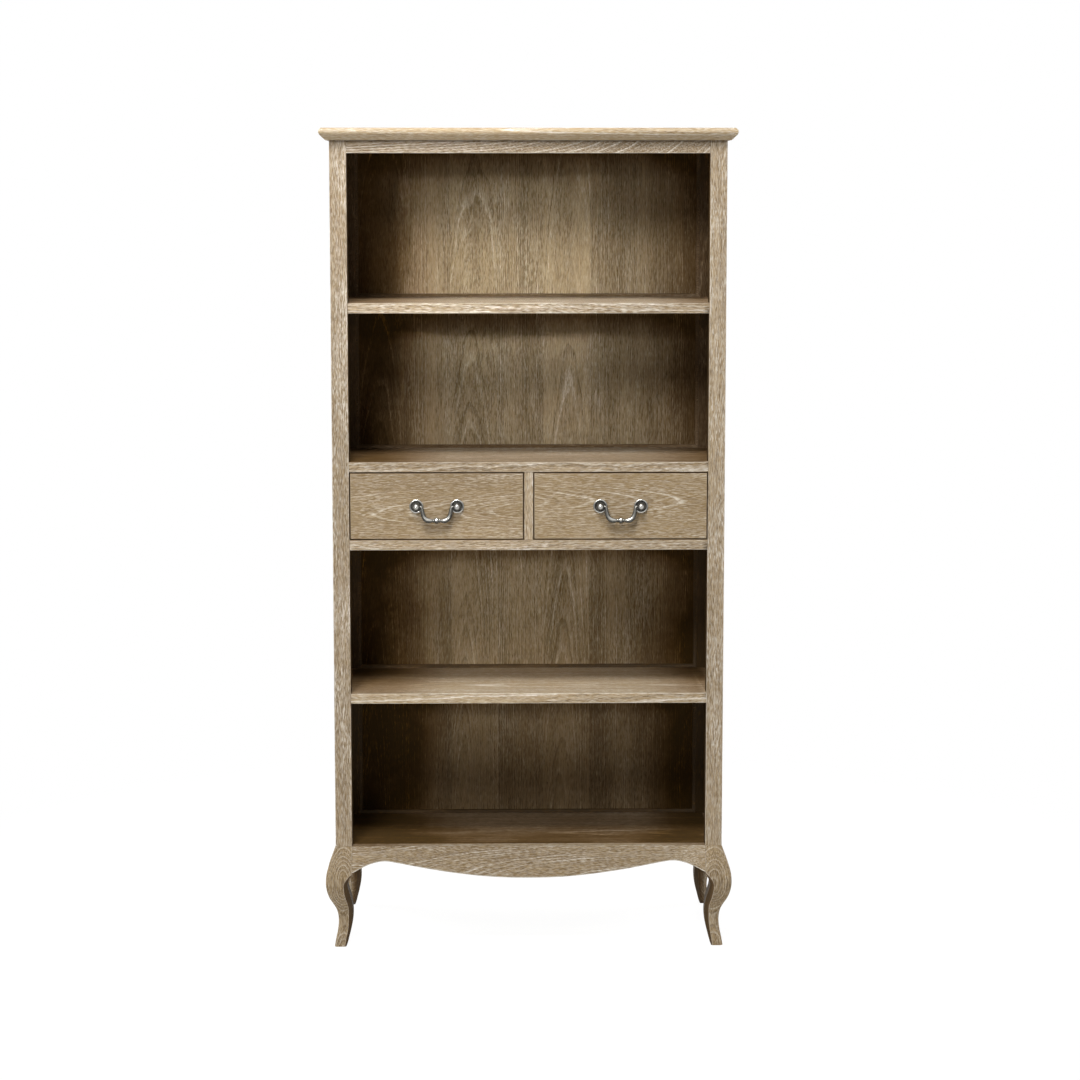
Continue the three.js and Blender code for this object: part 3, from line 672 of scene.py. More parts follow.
class Graph:
    """A short way to write a node tree.

    Attributes:
        tree: The node tree.
    """

    def __init__(self, tree: bpy.types.NodeTree) -> None:
        """Empties a tree and takes it over."""
        self.tree = tree
        tree.nodes.clear()

    def add(self, kind: str, inputs: dict | None = None, **settings: object) -> bpy.types.Node:
        """Adds a node.

        Args:
            kind: The node's type name.
            inputs: Values or output sockets by input name or number.
            settings: Attributes of the node.

        Returns:
            The node.
        """
        node = self.tree.nodes.new(kind)
        for key, value in settings.items():
            setattr(node, key, value)
        for key, value in (inputs or {}).items():
            self.feed(node.inputs[key], value)
        return node

    def feed(self, socket: Socket, value: object) -> None:
        """Links or sets an input.

        Args:
            socket: The input.
            value: An output socket, or the value that it is set to.
        """
        if isinstance(value, Socket):
            self.tree.links.new(value, socket)
        else:
            socket.default_value = value

    def maths(self, operation: str, first: Value, second: Value = 0.0, clamp: bool = False) -> Socket:
        """Adds a Math node."""
        inputs = {0: first, 1: second}
        return self.add("ShaderNodeMath", inputs, operation=operation, use_clamp=clamp).outputs[0]

    def times(self, *values: Value) -> Socket:
        """Multiplies values."""
        return reduce(partial(self.maths, "MULTIPLY"), values)

    def plus(self, *values: Value) -> Socket:
        """Adds values up."""
        return reduce(partial(self.maths, "ADD"), values)

    def minus(self, *values: Value) -> Socket:
        """Takes the other values from the first."""
        return reduce(partial(self.maths, "SUBTRACT"), values)

    def noise(self, vector: Socket, waves: Triple, detail: float = 2.0, rough: float = 0.5) -> Socket:
        """Adds a noise.

        Args:
            vector: The place.
            waves: Its waves to the metre on each axis.
            detail: Its octaves.
            rough: How strong each finer octave is.

        Returns:
            The noise, from 0 to 1.
        """
        stretched = self.add("ShaderNodeVectorMath", {0: vector, 1: waves}, operation="MULTIPLY")
        inputs = {"Vector": stretched.outputs[0], "Scale": 1.0, "Detail": detail, "Roughness": rough}
        return self.add("ShaderNodeTexNoise", inputs).outputs["Fac"]

    def swing(self, vector: Socket, waves: Triple, detail: float = 2.0, rough: float = 0.5) -> Socket:
        """Adds a noise that swings about nothing."""
        return self.minus(self.noise(vector, waves, detail, rough), 0.5)

    def ramp(self, value: Value, low: float, high: float, to_low: float = 0.0, to_high: float = 1.0) -> Socket:
        """Maps a value smoothly from one pair of limits to another."""
        inputs = {"Value": value, "From Min": low, "From Max": high, "To Min": to_low, "To Max": to_high}
        return self.add("ShaderNodeMapRange", inputs, interpolation_type="SMOOTHSTEP").outputs[0]

    def speckle(self, vector: Socket, speckle: Speckle) -> Socket:
        """Adds a noise that is cut to a mask."""
        value = self.noise(vector, speckle.waves, speckle.detail, speckle.rough)
        return self.ramp(value, speckle.low, speckle.high, *speckle.levels)

    def mix(self, factor: Value, first: object, second: object, blend: str = "MIX") -> Socket:
        """Mixes two colours.

        Args:
            factor: Share of the second colour.
            first: The first colour.
            second: The second colour.
            blend: How they are blended.

        Returns:
            The result.
        """
        node = self.add("ShaderNodeMix", data_type="RGBA", blend_type=blend)
        for key, value in (("Factor_Float", factor), ("A_Color", first), ("B_Color", second)):
            self.feed(next(s for s in node.inputs if s.identifier == key), value)
        return next(s for s in node.outputs if s.identifier == "Result_Color")

    def attribute(self, name: str, output: str = "Fac") -> Socket:
        """Reads an attribute of the mesh."""
        return self.add("ShaderNodeAttribute", attribute_name=name).outputs[output]

    def patches(self, group: bpy.types.NodeTree, attribute: str, amount: float) -> Socket:
        """Places a group that breaks up an attribute into patches."""
        inputs = {"Given": self.attribute(attribute), "Amount": amount}
        return self.add("ShaderNodeGroup", inputs, node_tree=group).outputs["Mask"]

    def seen(self) -> Socket:
        """Tells what the eye sees, straight, mirrored or through glass.

        Returns:
            One for such a ray, else nothing.
        """
        rays = self.add("ShaderNodeLightPath").outputs
        seen = self.maths("MAXIMUM", rays["Is Camera Ray"], rays["Is Glossy Ray"])
        return self.maths("MAXIMUM", seen, rays["Is Transmission Ray"])

    def surface(self, height: Socket, strength: float, depth: float, inputs: dict) -> None:
        """Adds the material's shader, with its relief, and puts it out.

        Args:
            height: The relief.
            strength: How strongly it shows.
            depth: How deep it is.
            inputs: The shader's other inputs.
        """
        bump = self.add("ShaderNodeBump", {"Height": height, "Strength": strength, "Distance": depth})
        shader = self.add("ShaderNodeBsdfPrincipled", {**inputs, "Normal": bump.outputs[0]})
        self.add("ShaderNodeOutputMaterial", {"Surface": shader.outputs[0]})


def new_material(name: str) -> tuple[bpy.types.Material, Graph]:
    """Starts a material.

    Args:
        name: Its name.

    Returns:
        The material and its graph.
    """
    material = bpy.data.materials.new(name)
    material.use_nodes = True
    return material, Graph(material.node_tree)


def new_group(
    name: str, inputs: dict[str, tuple[str, float | None]], outputs: Sequence[str]
) -> tuple[Graph, bpy.types.NodeOutputs, bpy.types.Node]:
    """Starts a shader node group.

    Args:
        name: The group's name.
        inputs: Socket type and default by name.
        outputs: Names of the values that it puts out.

    Returns:
        The group's graph, what it is given, and its output node.
    """
    tree = bpy.data.node_groups.new(name, "ShaderNodeTree")
    for label, (kind, default) in inputs.items():
        socket = tree.interface.new_socket(label, in_out="INPUT", socket_type=f"NodeSocket{kind}")
        if default is not None:
            socket.default_value = default
    for label in outputs:
        tree.interface.new_socket(label, in_out="OUTPUT", socket_type="NodeSocketFloat")
    graph = Graph(tree)
    return graph, graph.add("NodeGroupInput").outputs, graph.add("NodeGroupOutput")


@dataclass(frozen=True)
class OakGrain:
    """The oak figure: growth rings round the pith, pores, and slow changes of tone.

    Attributes:
        slow_bend: Waves of the rings' slow wander.
        quick_bend: Waves of their quick wander.
        quick_reach: How far the quick wander moves them.
        year: The draws between which a ring goes from its weakest to its strongest.
        weakest: Strength of the weakest ring.
        early_rise: Where in a ring the open early wood comes in.
        early_fall: Where it goes out.
        late_rise: Where the dark late wood comes in.
        dashes: Where the lime holds in a ring.
        pores: The fine pores.
        streaks: The short pale flecks.
        pits: The open pores without lime.
        patches: Where flecks and rings show their lime.
        patch_floor: How much more than the whole rings shows everywhere.
        fine: Waves, octaves and roughness of the fine changes of tone.
        broad: Waves of the slow changes of tone.
        off_ring: Share of the pores that is open away from the early wood.
        ring_lime: Lime in the rings.
        pore_lime: Lime in the pores.
        mean_tone: Tone of the plain wood.
        fine_tone: Share of the fine changes in the tone.
        late_tone: How much darker the late wood is.
        late_relief: How far the late wood stands up.
        pore_relief: How far the pores go down.
        fine_relief: Share of the fine changes in the relief.
    """

    slow_bend: Triple = (2.2, 11, 11)
    quick_bend: Triple = (14, 45, 45)
    quick_reach: float = 0.0022
    year: Pair = (0.2, 0.9)
    weakest: float = 0.1
    early_rise: Pair = (0.0, 0.1)
    early_fall: Pair = (0.15, 0.5)
    late_rise: Pair = (0.6, 0.97)
    dashes: Speckle = Speckle((50, 640, 640), 0.42, 0.6)
    pores: Speckle = Speckle((60, 760, 760), 0.53, 0.64, 1.0, 0.4)
    streaks: Speckle = Speckle((54, 640, 640), 0.5, 0.6, 1.5)
    pits: Speckle = Speckle((46, 660, 660), 0.38, 0.5, 1.5, 0.5, (1.0, 0.0))
    patches: Speckle = Speckle((5, 28, 28), 0.3, 0.7)
    patch_floor: float = 0.15
    fine: tuple[Triple, float, float] = ((16, 300, 300), 3.0, 0.65)
    broad: Triple = (1.1, 16, 16)
    off_ring: float = 0.45
    ring_lime: float = 0.85
    pore_lime: float = 0.42
    mean_tone: float = 0.6
    fine_tone: float = 1.5
    late_tone: float = 0.38
    late_relief: float = 0.35
    pore_relief: float = 0.9
    fine_relief: float = 0.5

    def build(self) -> bpy.types.NodeTree:
        """Builds the group.

        Returns:
            The group, which puts out the tone, the lime in the open grain and the relief.
        """
        labels = ("Ring Width", "Wander", "Fleck", "Pits", "Cloud", "Whole Rings", "Shortness")
        inputs = {"Log": ("Vector", None), **{label: ("Float", 1.0) for label in labels}}
        graph, given, put = new_group("oak_grain", inputs, ("Tone", "Lime", "Relief"))
        shorter = graph.add("ShaderNodeCombineXYZ", {0: given["Shortness"], 1: 1.0, 2: 1.0}).outputs[0]
        log = graph.add("ShaderNodeVectorMath", {0: given["Log"], 1: shorter}, operation="MULTIPLY").outputs[0]
        axes = graph.add("ShaderNodeSeparateXYZ", {0: log}).outputs
        out_from_pith = graph.add("ShaderNodeCombineXYZ", {1: axes[1], 2: axes[2]}).outputs[0]
        radius = graph.add("ShaderNodeVectorMath", {0: out_from_pith}, operation="LENGTH").outputs["Value"]
        slow = graph.times(graph.swing(log, self.slow_bend), given["Wander"])
        quick = graph.times(graph.swing(log, self.quick_bend), self.quick_reach)
        rings = graph.maths("DIVIDE", graph.plus(radius, slow, quick), given["Ring Width"])
        phase, year = graph.maths("FRACT", rings), graph.maths("FLOOR", rings)
        chance = graph.add("ShaderNodeTexWhiteNoise", {"W": year}, noise_dimensions="1D").outputs["Value"]
        strength = graph.ramp(chance, *self.year, self.weakest, 1.0)
        early = graph.times(graph.ramp(phase, *self.early_rise), graph.ramp(phase, *self.early_fall, 1.0, 0.0))
        unbroken = graph.maths("MAXIMUM", graph.speckle(log, self.dashes), given["Whole Rings"])
        early = graph.times(early, strength, unbroken)
        late = graph.times(graph.ramp(phase, *self.late_rise), strength)

        fine, broad = graph.swing(log, *self.fine), graph.swing(log, self.broad)
        floor = graph.plus(given["Whole Rings"], self.patch_floor)
        patchy = graph.maths("MAXIMUM", graph.speckle(log, self.patches), floor)
        open_grain = graph.times(graph.speckle(log, self.pores), graph.ramp(early, 0.0, 1.0, self.off_ring, 1.0))
        flecks = graph.times(graph.speckle(log, self.streaks), patchy, given["Fleck"])
        lime = graph.plus(graph.times(early, self.ring_lime, patchy), graph.times(open_grain, self.pore_lime))
        lime = graph.maths("ADD", lime, flecks, clamp=True)
        fine_tone, broad_tone = graph.times(fine, self.fine_tone), graph.times(broad, given["Cloud"])
        tone = graph.plus(fine_tone, broad_tone, self.mean_tone)
        pits = graph.times(graph.speckle(log, self.pits), given["Pits"])
        tone = graph.minus(tone, graph.times(late, self.late_tone), pits)
        relief = graph.minus(graph.times(late, self.late_relief), graph.times(open_grain, self.pore_relief))
        relief = graph.plus(relief, graph.times(fine, self.fine_relief))
        for label, socket in (("Tone", tone), ("Lime", lime), ("Relief", relief)):
            graph.feed(put.inputs[label], socket)
        return graph.tree


def patchy_mask_group(name: str, patches: Speckle) -> bpy.types.NodeTree:
    """Builds a group that breaks up a mask into patches.

    Args:
        name: The group's name.
        patches: The patches.

    Returns:
        The group, which puts out the broken mask.
    """
    graph, given, put = new_group(name, {"Given": ("Float", 0.0), "Amount": ("Float", 1.0)}, ("Mask",))
    place = graph.add("ShaderNodeTexCoord").outputs["Object"]
    mask = graph.times(given["Given"], graph.speckle(place, patches))
    graph.feed(put.inputs["Mask"], graph.maths("MULTIPLY", mask, given["Amount"], clamp=True))
    return graph.tree


@dataclass(frozen=True)
class OakFinish:
    """Oak with lime in its open grain.

    Attributes:
        name: Name of the material.
        deep: Colour of the late wood.
        body: Colour of the face.
        lime: Colour of the lime.
        painted_shade_tint: Tint that the painted shade multiplies into the colour.
        dark_painted_shade: Colour of the painted shade where it is deepest.
        lime_amount: How strongly the lime shows.
        ring_width: Mean width of a growth ring.
        wander: How far the rings wander.
        fleck: How strong the short pale flecks are.
        pits: How dark the open pores are.
        cloud: How much the tone changes slowly over the face.
        whole_rings: How strong the lime in the rings stays where they are broken.
        shortness: How short the flecks and pores are.
        wear: How pale the arrises are rubbed.
        roughness: Of the plain face.
        lime_rougher: How much rougher the lime is.
        shine: How much light the plain face mirrors.
        painted_shade: How strongly the painted shade shows.
        lime_covered: How much of the deepest painted shade lies over the lime.
        tone_reach: How much a piece's own tone counts.
        relief: How strongly the open grain's relief shows.
        relief_depth: How deep it is.
    """

    name: str
    deep: Triple = (0.15, 0.1, 0.05)
    body: Triple = (0.38, 0.287, 0.174)
    lime: Triple = (0.73, 0.685, 0.61)
    painted_shade_tint: Triple = (0.42, 0.24, 0.05)
    dark_painted_shade: Triple = (0.045, 0.024, 0.005)
    lime_amount: float = 0.85
    ring_width: float = 0.0036
    wander: float = 0.014
    fleck: float = 0.35
    pits: float = 0.55
    cloud: float = 0.9
    whole_rings: float = 0.2
    shortness: float = 1.2
    wear: float = 0.6
    roughness: float = 0.62
    lime_rougher: float = 0.16
    shine: float = 0.25
    painted_shade: float = 1.0
    lime_covered: float = 0.5
    tone_reach: float = 1.6
    relief: float = 0.55
    relief_depth: float = 0.0005

    def build(self, groups: dict[str, bpy.types.NodeTree]) -> bpy.types.Material:
        """Builds the material.

        Args:
            groups: The shared groups by name.

        Returns:
            The material.
        """
        material, graph = new_material(self.name)
        figure = graph.add("ShaderNodeGroup", {
            "Log": graph.attribute("log_place", "Vector"), "Ring Width": self.ring_width,
            "Wander": self.wander, "Fleck": self.fleck, "Pits": self.pits, "Cloud": self.cloud,
            "Whole Rings": self.whole_rings, "Shortness": self.shortness,
        }, node_tree=groups["grain"]).outputs
        own_tone = graph.times(graph.attribute("tone"), self.tone_reach)
        tone = graph.maths("ADD", figure["Tone"], own_tone, clamp=True)
        colour = graph.mix(tone, (*self.deep, 1), (*self.body, 1))
        rubbed = graph.patches(groups["wear"], "arris", self.wear)
        lime = graph.maths("MAXIMUM", graph.times(figure["Lime"], self.lime_amount), rubbed)
        colour = graph.mix(lime, colour, (*self.lime, 1))
        # Painted shade: the colour tinted darker where the painted-shade mask lies, and darkest where it is
        # strongest.
        if self.painted_shade > 0:
            shade_mask = graph.patches(groups["painted_shade"], "painted_shade", self.painted_shade)
            colour = graph.mix(shade_mask, colour, (*self.painted_shade_tint, 1), "MULTIPLY")
            deep_shade = graph.times(shade_mask, shade_mask, graph.ramp(lime, 0.0, 1.0, 1.0, self.lime_covered))
            colour = graph.mix(deep_shade, colour, (*self.dark_painted_shade, 1))
        rough = graph.ramp(figure["Lime"], 0.0, 1.0, self.roughness, self.roughness + self.lime_rougher)
        inputs = {"Base Color": colour, "Roughness": rough, "Specular IOR Level": self.shine}
        graph.surface(figure["Relief"], self.relief, self.relief_depth, inputs)
        return material


@dataclass(frozen=True)
class MetalFinish:
    """Cast metal, dark under a mask of patina in its hollows and painted shade, bright where it is rubbed and
    where highlights are painted.

    Attributes:
        name: Name of the material.
        bright: Colour of the rubbed metal and of its painted highlights.
        dark: Colour of the patina and of the painted shade.
        patina: How far the patina spreads over the plain metal.
        roughness: Of the rubbed metal.
        dark_rougher: How much rougher the patina is.
        mottle: Waves, octaves and roughness of the patina's mottle.
        stained: Limits of the mottle between which the plain metal stains.
        broken: Limits of the mottle between which the patina in the hollows breaks up.
        broken_share: What is left of it there.
        grit: Waves of the casting's grit.
        relief: How strongly the grit shows.
        relief_depth: How deep it is.
    """

    name: str
    bright: Triple = (0.6, 0.59, 0.55)
    dark: Triple = (0.035, 0.033, 0.028)
    patina: float = 0.3
    roughness: float = 0.2
    dark_rougher: float = 0.3
    mottle: tuple[Triple, float, float] = ((260, 260, 260), 3.0, 0.6)
    stained: Pair = (0.35, 0.75)
    broken: Pair = (0.2, 0.8)
    broken_share: float = 0.8
    grit: Triple = (900, 900, 900)
    relief: float = 0.25
    relief_depth: float = 0.0002

    def build(self) -> bpy.types.Material:
        """Builds the material.

        Returns:
            The material.
        """
        material, graph = new_material(self.name)
        place = graph.add("ShaderNodeTexCoord").outputs["Object"]
        mottle = graph.noise(place, *self.mottle)
        stain = graph.ramp(mottle, *self.stained, 0.0, self.patina)
        unbroken = graph.ramp(mottle, *self.broken, 1.0, self.broken_share)
        # Darkest where the mottle stains and where the mask of patina and painted shade lies.
        dark = graph.maths("MAXIMUM", stain, graph.times(graph.attribute("patina_and_shade"), unbroken))
        colour = graph.mix(dark, (*self.bright, 1), (*self.dark, 1))
        rough = graph.ramp(dark, 0.0, 1.0, self.roughness, self.roughness + self.dark_rougher)
        inputs = {"Base Color": colour, "Metallic": 1.0, "Roughness": rough}
        graph.surface(graph.noise(place, self.grit), self.relief, self.relief_depth, inputs)
        return material


@dataclass(frozen=True)
class StudioFloor:
    """A pale floor that shows white to the camera and keeps the case's soft shadow.

    Attributes:
        half_size: Half the floor's width.
        near: Distance at which the shadow starts to fade into the white.
        far: Distance at which nothing of it is left.
        catch: How much of the floor near the case shows its light and shade.
        made_up: How much white makes up for the light that the plain floor lacks.
        colour: Of the plain floor.
    """

    half_size: float = 30.0
    near: float = 0.7
    far: float = 1.9
    catch: float = 0.12
    made_up: float = 0.7
    colour: Triple = (0.8, 0.79, 0.77)

    def build(self) -> bpy.types.Object:
        """Builds the floor.

        Returns:
            The floor.
        """
        material, graph = new_material("studio_floor")
        place = graph.add("ShaderNodeTexCoord").outputs["Object"]
        reach = graph.add("ShaderNodeVectorMath", {0: place}, operation="LENGTH").outputs["Value"]
        near = graph.ramp(reach, self.near, self.far, self.catch, 0.0)
        plain = graph.add("ShaderNodeBsdfDiffuse", {"Color": (*self.colour, 1)}).outputs[0]
        level = graph.plus(graph.times(near, self.made_up), 1.0)
        white = graph.add("ShaderNodeEmission", {"Color": (1, 1, 1, 1), "Strength": level}).outputs[0]
        caught = graph.add("ShaderNodeMixShader", {0: near, 1: white, 2: plain}).outputs[0]
        shown = graph.add("ShaderNodeMixShader", {0: graph.seen(), 1: plain, 2: caught}).outputs[0]
        graph.add("ShaderNodeOutputMaterial", {"Surface": shown})
        bm = bmesh.new()
        bmesh.ops.create_grid(bm, x_segments=2, y_segments=2, size=self.half_size)
        mesh = bpy.data.meshes.new("studio_floor")
        bm.to_mesh(mesh)
        bm.free()
        mesh.materials.append(material)
        floor = place_in_scene("studio_floor", mesh)
        return floor


@dataclass(frozen=True)
class Softbox:
    """A studio lamp: a square of even light.

    Attributes:
        name: Name of the lamp.
        place: Where it stands.
        aim: The point that it faces.
        width: Across.
        height: Up and down.
        power: In watts.
        spread: Angle in degrees over which its grid lets the light out.
        colour: Of its light.
    """

    name: str
    place: Triple
    aim: Triple
    width: float
    height: float
    power: float
    spread: float = 180
    colour: Triple = (1.0, 0.99, 0.97)

    def build(self) -> bpy.types.Object:
        """Hangs the lamp.

        Returns:
            The lamp.
        """
        light = bpy.data.lights.new(self.name, "AREA")
        light.shape = "RECTANGLE"
        light.size, light.size_y = self.width, self.height
        light.energy = self.power
        light.color = self.colour
        light.spread = math.radians(self.spread)
        lamp = place_in_scene(self.name, light)
        lamp.location = self.place
        lamp.rotation_euler = (Vector(self.aim) - Vector(self.place)).to_track_quat("-Z", "Y").to_euler()
        return lamp


@dataclass(frozen=True)
class Studio:
    """The floor, the white surroundings and the lamps.

    Attributes:
        floor: The floor.
        surround: How much light the surroundings give; the eye sees them white.
        lamps: The lamps.
    """

    floor: StudioFloor = StudioFloor()
    surround: float = 0.025
    lamps: tuple[Softbox, ...] = (
        Softbox("gridded_key", (-1.15, -2.7, 2.2), (-0.05, 0.15, 1.57), 0.4, 0.45, 0.42, 11),
        Softbox("gridded_low_key", (-0.9, -2.9, 1.5), (-0.03, 0.15, 0.7), 0.45, 0.35, 0.2, 12),
        Softbox("high_softbox", (-1.3, -3.5, 3.9), (-0.15, 0.0, 1.0), 1.2, 1.0, 100),
        Softbox("overhead_softbox", (-0.4, -1.9, 4.4), (0.0, -0.2, 1.0), 1.2, 0.8, 152),
        Softbox("left_softbox", (-3.4, 0.9, 2.4), (-0.4, 0.1, 1.0), 1.4, 1.4, 85),
        Softbox("right_softbox", (3.4, 0.9, 2.4), (0.4, 0.1, 1.0), 1.4, 1.4, 70),
        Softbox("rear_softbox", (0.6, 3.8, 2.8), (0.0, 0.2, 1.0), 1.4, 1.4, 90),
    )

    def build(self) -> None:
        """Sets the studio up."""
        world = bpy.data.worlds.new("studio_surround")
        world.use_nodes = True
        graph = Graph(world.node_tree)
        strength = graph.ramp(graph.seen(), 0.0, 1.0, self.surround, 1.0)
        light = graph.add("ShaderNodeBackground", {"Color": (1, 1, 1, 1), "Strength": strength})
        graph.add("ShaderNodeOutputWorld", {"Surface": light.outputs[0]})
        bpy.context.scene.world = world
        bpy.context.scene.view_settings.view_transform = "Standard"
        self.floor.build()
        for lamp in self.lamps:
            lamp.build()


@dataclass(frozen=True)
class PhotoCamera:
    """The camera as the photograph was taken: a long lens at shoulder height, square on.

    Attributes:
        place: Where it stands.
        pitch_down: How far it looks down, in radians.
        turn: How far it is turned to the left, in radians.
        lens: Focal length in millimetres.
        sensor: Width of the sensor in millimetres.
        shift_up: Upward shift of the lens, as a share of the sensor.
    """

    place: Triple = (-0.0509, -5.9622, 1.8245)
    pitch_down: float = 0.1156
    turn: float = -0.0134
    lens: float = 82.52
    sensor: float = 36.0
    shift_up: float = -0.065

    def build(self) -> bpy.types.Object:
        """Sets the camera up.

        Returns:
            The camera.
        """
        data = bpy.data.cameras.new("photo_camera")
        data.lens = self.lens
        data.sensor_width = self.sensor
        data.shift_y = self.shift_up
        camera = place_in_scene("photo_camera", data)
        camera.location = self.place
        camera.rotation_euler = Euler((math.pi / 2 - self.pitch_down, 0, self.turn))
        bpy.context.scene.camera = camera
        return camera


def smooth_rows(rows: Rows, steps: int) -> list[list[float]]:
    """Fills in rows on a smooth line through the given ones.

    Args:
        rows: The rows, each with the same count of values.
        steps: New rows for each stretch.

    Returns:
        The finer rows, first and last included.
    """
    fine: list[list[float]] = []
    last = len(rows) - 1
    for i in range(last):
        before, start, end, after = rows[max(0, i - 1)], rows[i], rows[i + 1], rows[min(last, i + 2)]
        for step in range(steps):
            t = step / steps
            fine.append([
                0.5 * (2 * b + (c - a) * t + (2 * a - 5 * b + 4 * c - d) * t * t
                       + (3 * b - a - 3 * c + d) * t ** 3)
                for a, b, c, d in zip(before, start, end, after)
            ])
    fine.append(list(rows[last]))
    return fine


def pull_through(name: str, rings: Sequence[Sequence[Vector]]) -> Workpiece:
    """Draws the first ring as a face and extrudes it through all the others, as a closed solid.

    Args:
        name: Name of the piece.
        rings: Rings with equal counts of points, none of them doubled.

    Returns:
        The new piece.
    """
    piece = Workpiece(name)
    bm = piece.bm
    face = bm.faces.new([bm.verts.new(point) for point in rings[0]])
    order = list(face.verts)
    for number, ring in enumerate(rings[1:]):
        made = bmesh.ops.extrude_face_region(bm, geom=[face])["geom"]
        if number > 0 and face.is_valid:
            bmesh.ops.delete(bm, geom=[face], context="FACES_ONLY")
        face = next(item for item in made if isinstance(item, bmesh.types.BMFace))
        near = {spot(vert.co, EXACT_DIGITS): vert for vert in face.verts}
        order = [near[spot(vert.co, EXACT_DIGITS)] for vert in order]
        for vert, point in zip(order, ring):
            vert.co = point
    bmesh.ops.recalc_face_normals(bm, faces=bm.faces)
    return piece


class Materials:
    """All finishes of the bookcase, built once."""

    ARRIS_PATCHES = Speckle((34, 34, 34), 0.32, 0.62, 3.0, 0.6, (0.25, 1.0))
    # Breaks the painted shade into patches.
    PAINTED_SHADE_PATCHES = Speckle((5, 16, 5), 0.25, 0.75, 5.0, 0.65, (0.8, 1.15))
    WARM_LIME = (0.72, 0.665, 0.575)

    def __init__(self) -> None:
        """Builds the shared groups, then each finish."""
        groups = {
            "grain": OakGrain().build(), "wear": patchy_mask_group("arris_wear", self.ARRIS_PATCHES),
            "painted_shade": patchy_mask_group("dark_painted_shade", self.PAINTED_SHADE_PATCHES),
        }
        self.frame_oak = OakFinish(
            "limed_oak_frame", fleck=0.5, lime_amount=1.0, ring_width=0.003, whole_rings=0.3,
        ).build(groups)
        self.figured_oak = OakFinish(
            "limed_oak_figured", body=(0.34, 0.25, 0.14), fleck=0.3, lime_amount=1.2, ring_width=0.006,
            wander=0.01, pits=0.5, whole_rings=0.5, wear=0.9,
        ).build(groups)
        self.leg_oak = OakFinish(
            "limed_oak_leg", deep=(0.13, 0.083, 0.037), body=(0.33, 0.242, 0.13), lime=self.WARM_LIME,
            lime_amount=0.72, fleck=0.3, ring_width=0.0036, wander=0.006, whole_rings=0.45, wear=0.9,
        ).build(groups)
        self.apron_oak = OakFinish(
            "limed_oak_apron", deep=(0.15, 0.097, 0.045), body=(0.35, 0.26, 0.145), fleck=0.36,
            ring_width=0.0034, wander=0.009, whole_rings=0.38, lime_amount=1.0, wear=0.9,
        ).build(groups)
        self.front_oak = OakFinish(
            "limed_oak_front", deep=(0.17, 0.11, 0.05), body=(0.29, 0.21, 0.11), lime=self.WARM_LIME,
            fleck=0.42, lime_amount=0.8, pits=0.4, ring_width=0.0028, whole_rings=0.33, shortness=1.0,
        ).build(groups)
        self.panel_oak = OakFinish(
            "limed_oak_panel", deep=(0.14, 0.093, 0.046), body=(0.36, 0.27, 0.16), wear=0.4, fleck=0.4,
            pits=0.3, shine=0.08,
        ).build(groups)
        self.veneer = OakFinish(
            "limed_oak_veneer", deep=(0.15, 0.103, 0.048), body=(0.47, 0.36, 0.21), lime=(0.70, 0.62, 0.48),
            ring_width=0.0046, fleck=0.34, lime_amount=1.05, pits=0.35, cloud=1.4, shine=0.08,
            lime_covered=0.3,
        ).build(groups)
        self.box_oak = OakFinish(
            "drawer_box_oak", deep=(0.25, 0.165, 0.085), body=(0.47, 0.35, 0.21), lime_amount=0.35,
            wear=0.2, painted_shade=0,
        ).build(groups)
        self.pewter = MetalFinish("antique_pewter").build()
        self.steel = MetalFinish("screw_steel", bright=(0.6, 0.6, 0.6), patina=0.15).build()


@dataclass
class Carcase:
    """Posts, rails, panels and the moulded top.

    Attributes:
        arris: Width of the eased arrises.
        post_wear: Depth of the wear on the posts.
        rail_wear: Depth of the wear on the front rail.
    """

    arris: float = 1.6 * MM
    post_wear: float = 0.35 * MM
    rail_wear: float = 0.3 * MM

    def build(self, stock: Materials) -> None:
        """Builds and dresses every piece of the carcase.

        Args:
            stock: The finishes.
        """
        upright = Cut(Grain.UPRIGHT, Sawing.QUARTER, 0.012, -0.05)
        for hand in HANDS:
            for end in ENDS:
                dress_node(f"{hand}_{end}_post", stock.frame_oak, upright, self.arris, self.post_wear)
            dress_node(f"{hand}_side_panel", stock.panel_oak, Cut(Grain.UPRIGHT, Sawing.FLAT, 0.02))
            dress_node(f"{hand}_top_side_rail", stock.frame_oak, Cut(Grain.FORE_AND_AFT), self.arris)
        rail = Cut(Grain.ACROSS, Sawing.RIFT, 0.2, -0.1, 0.25, 8)
        dress_node("top_front_rail", stock.figured_oak, rail, self.arris, self.rail_wear)
        MouldedTop().build(stock)


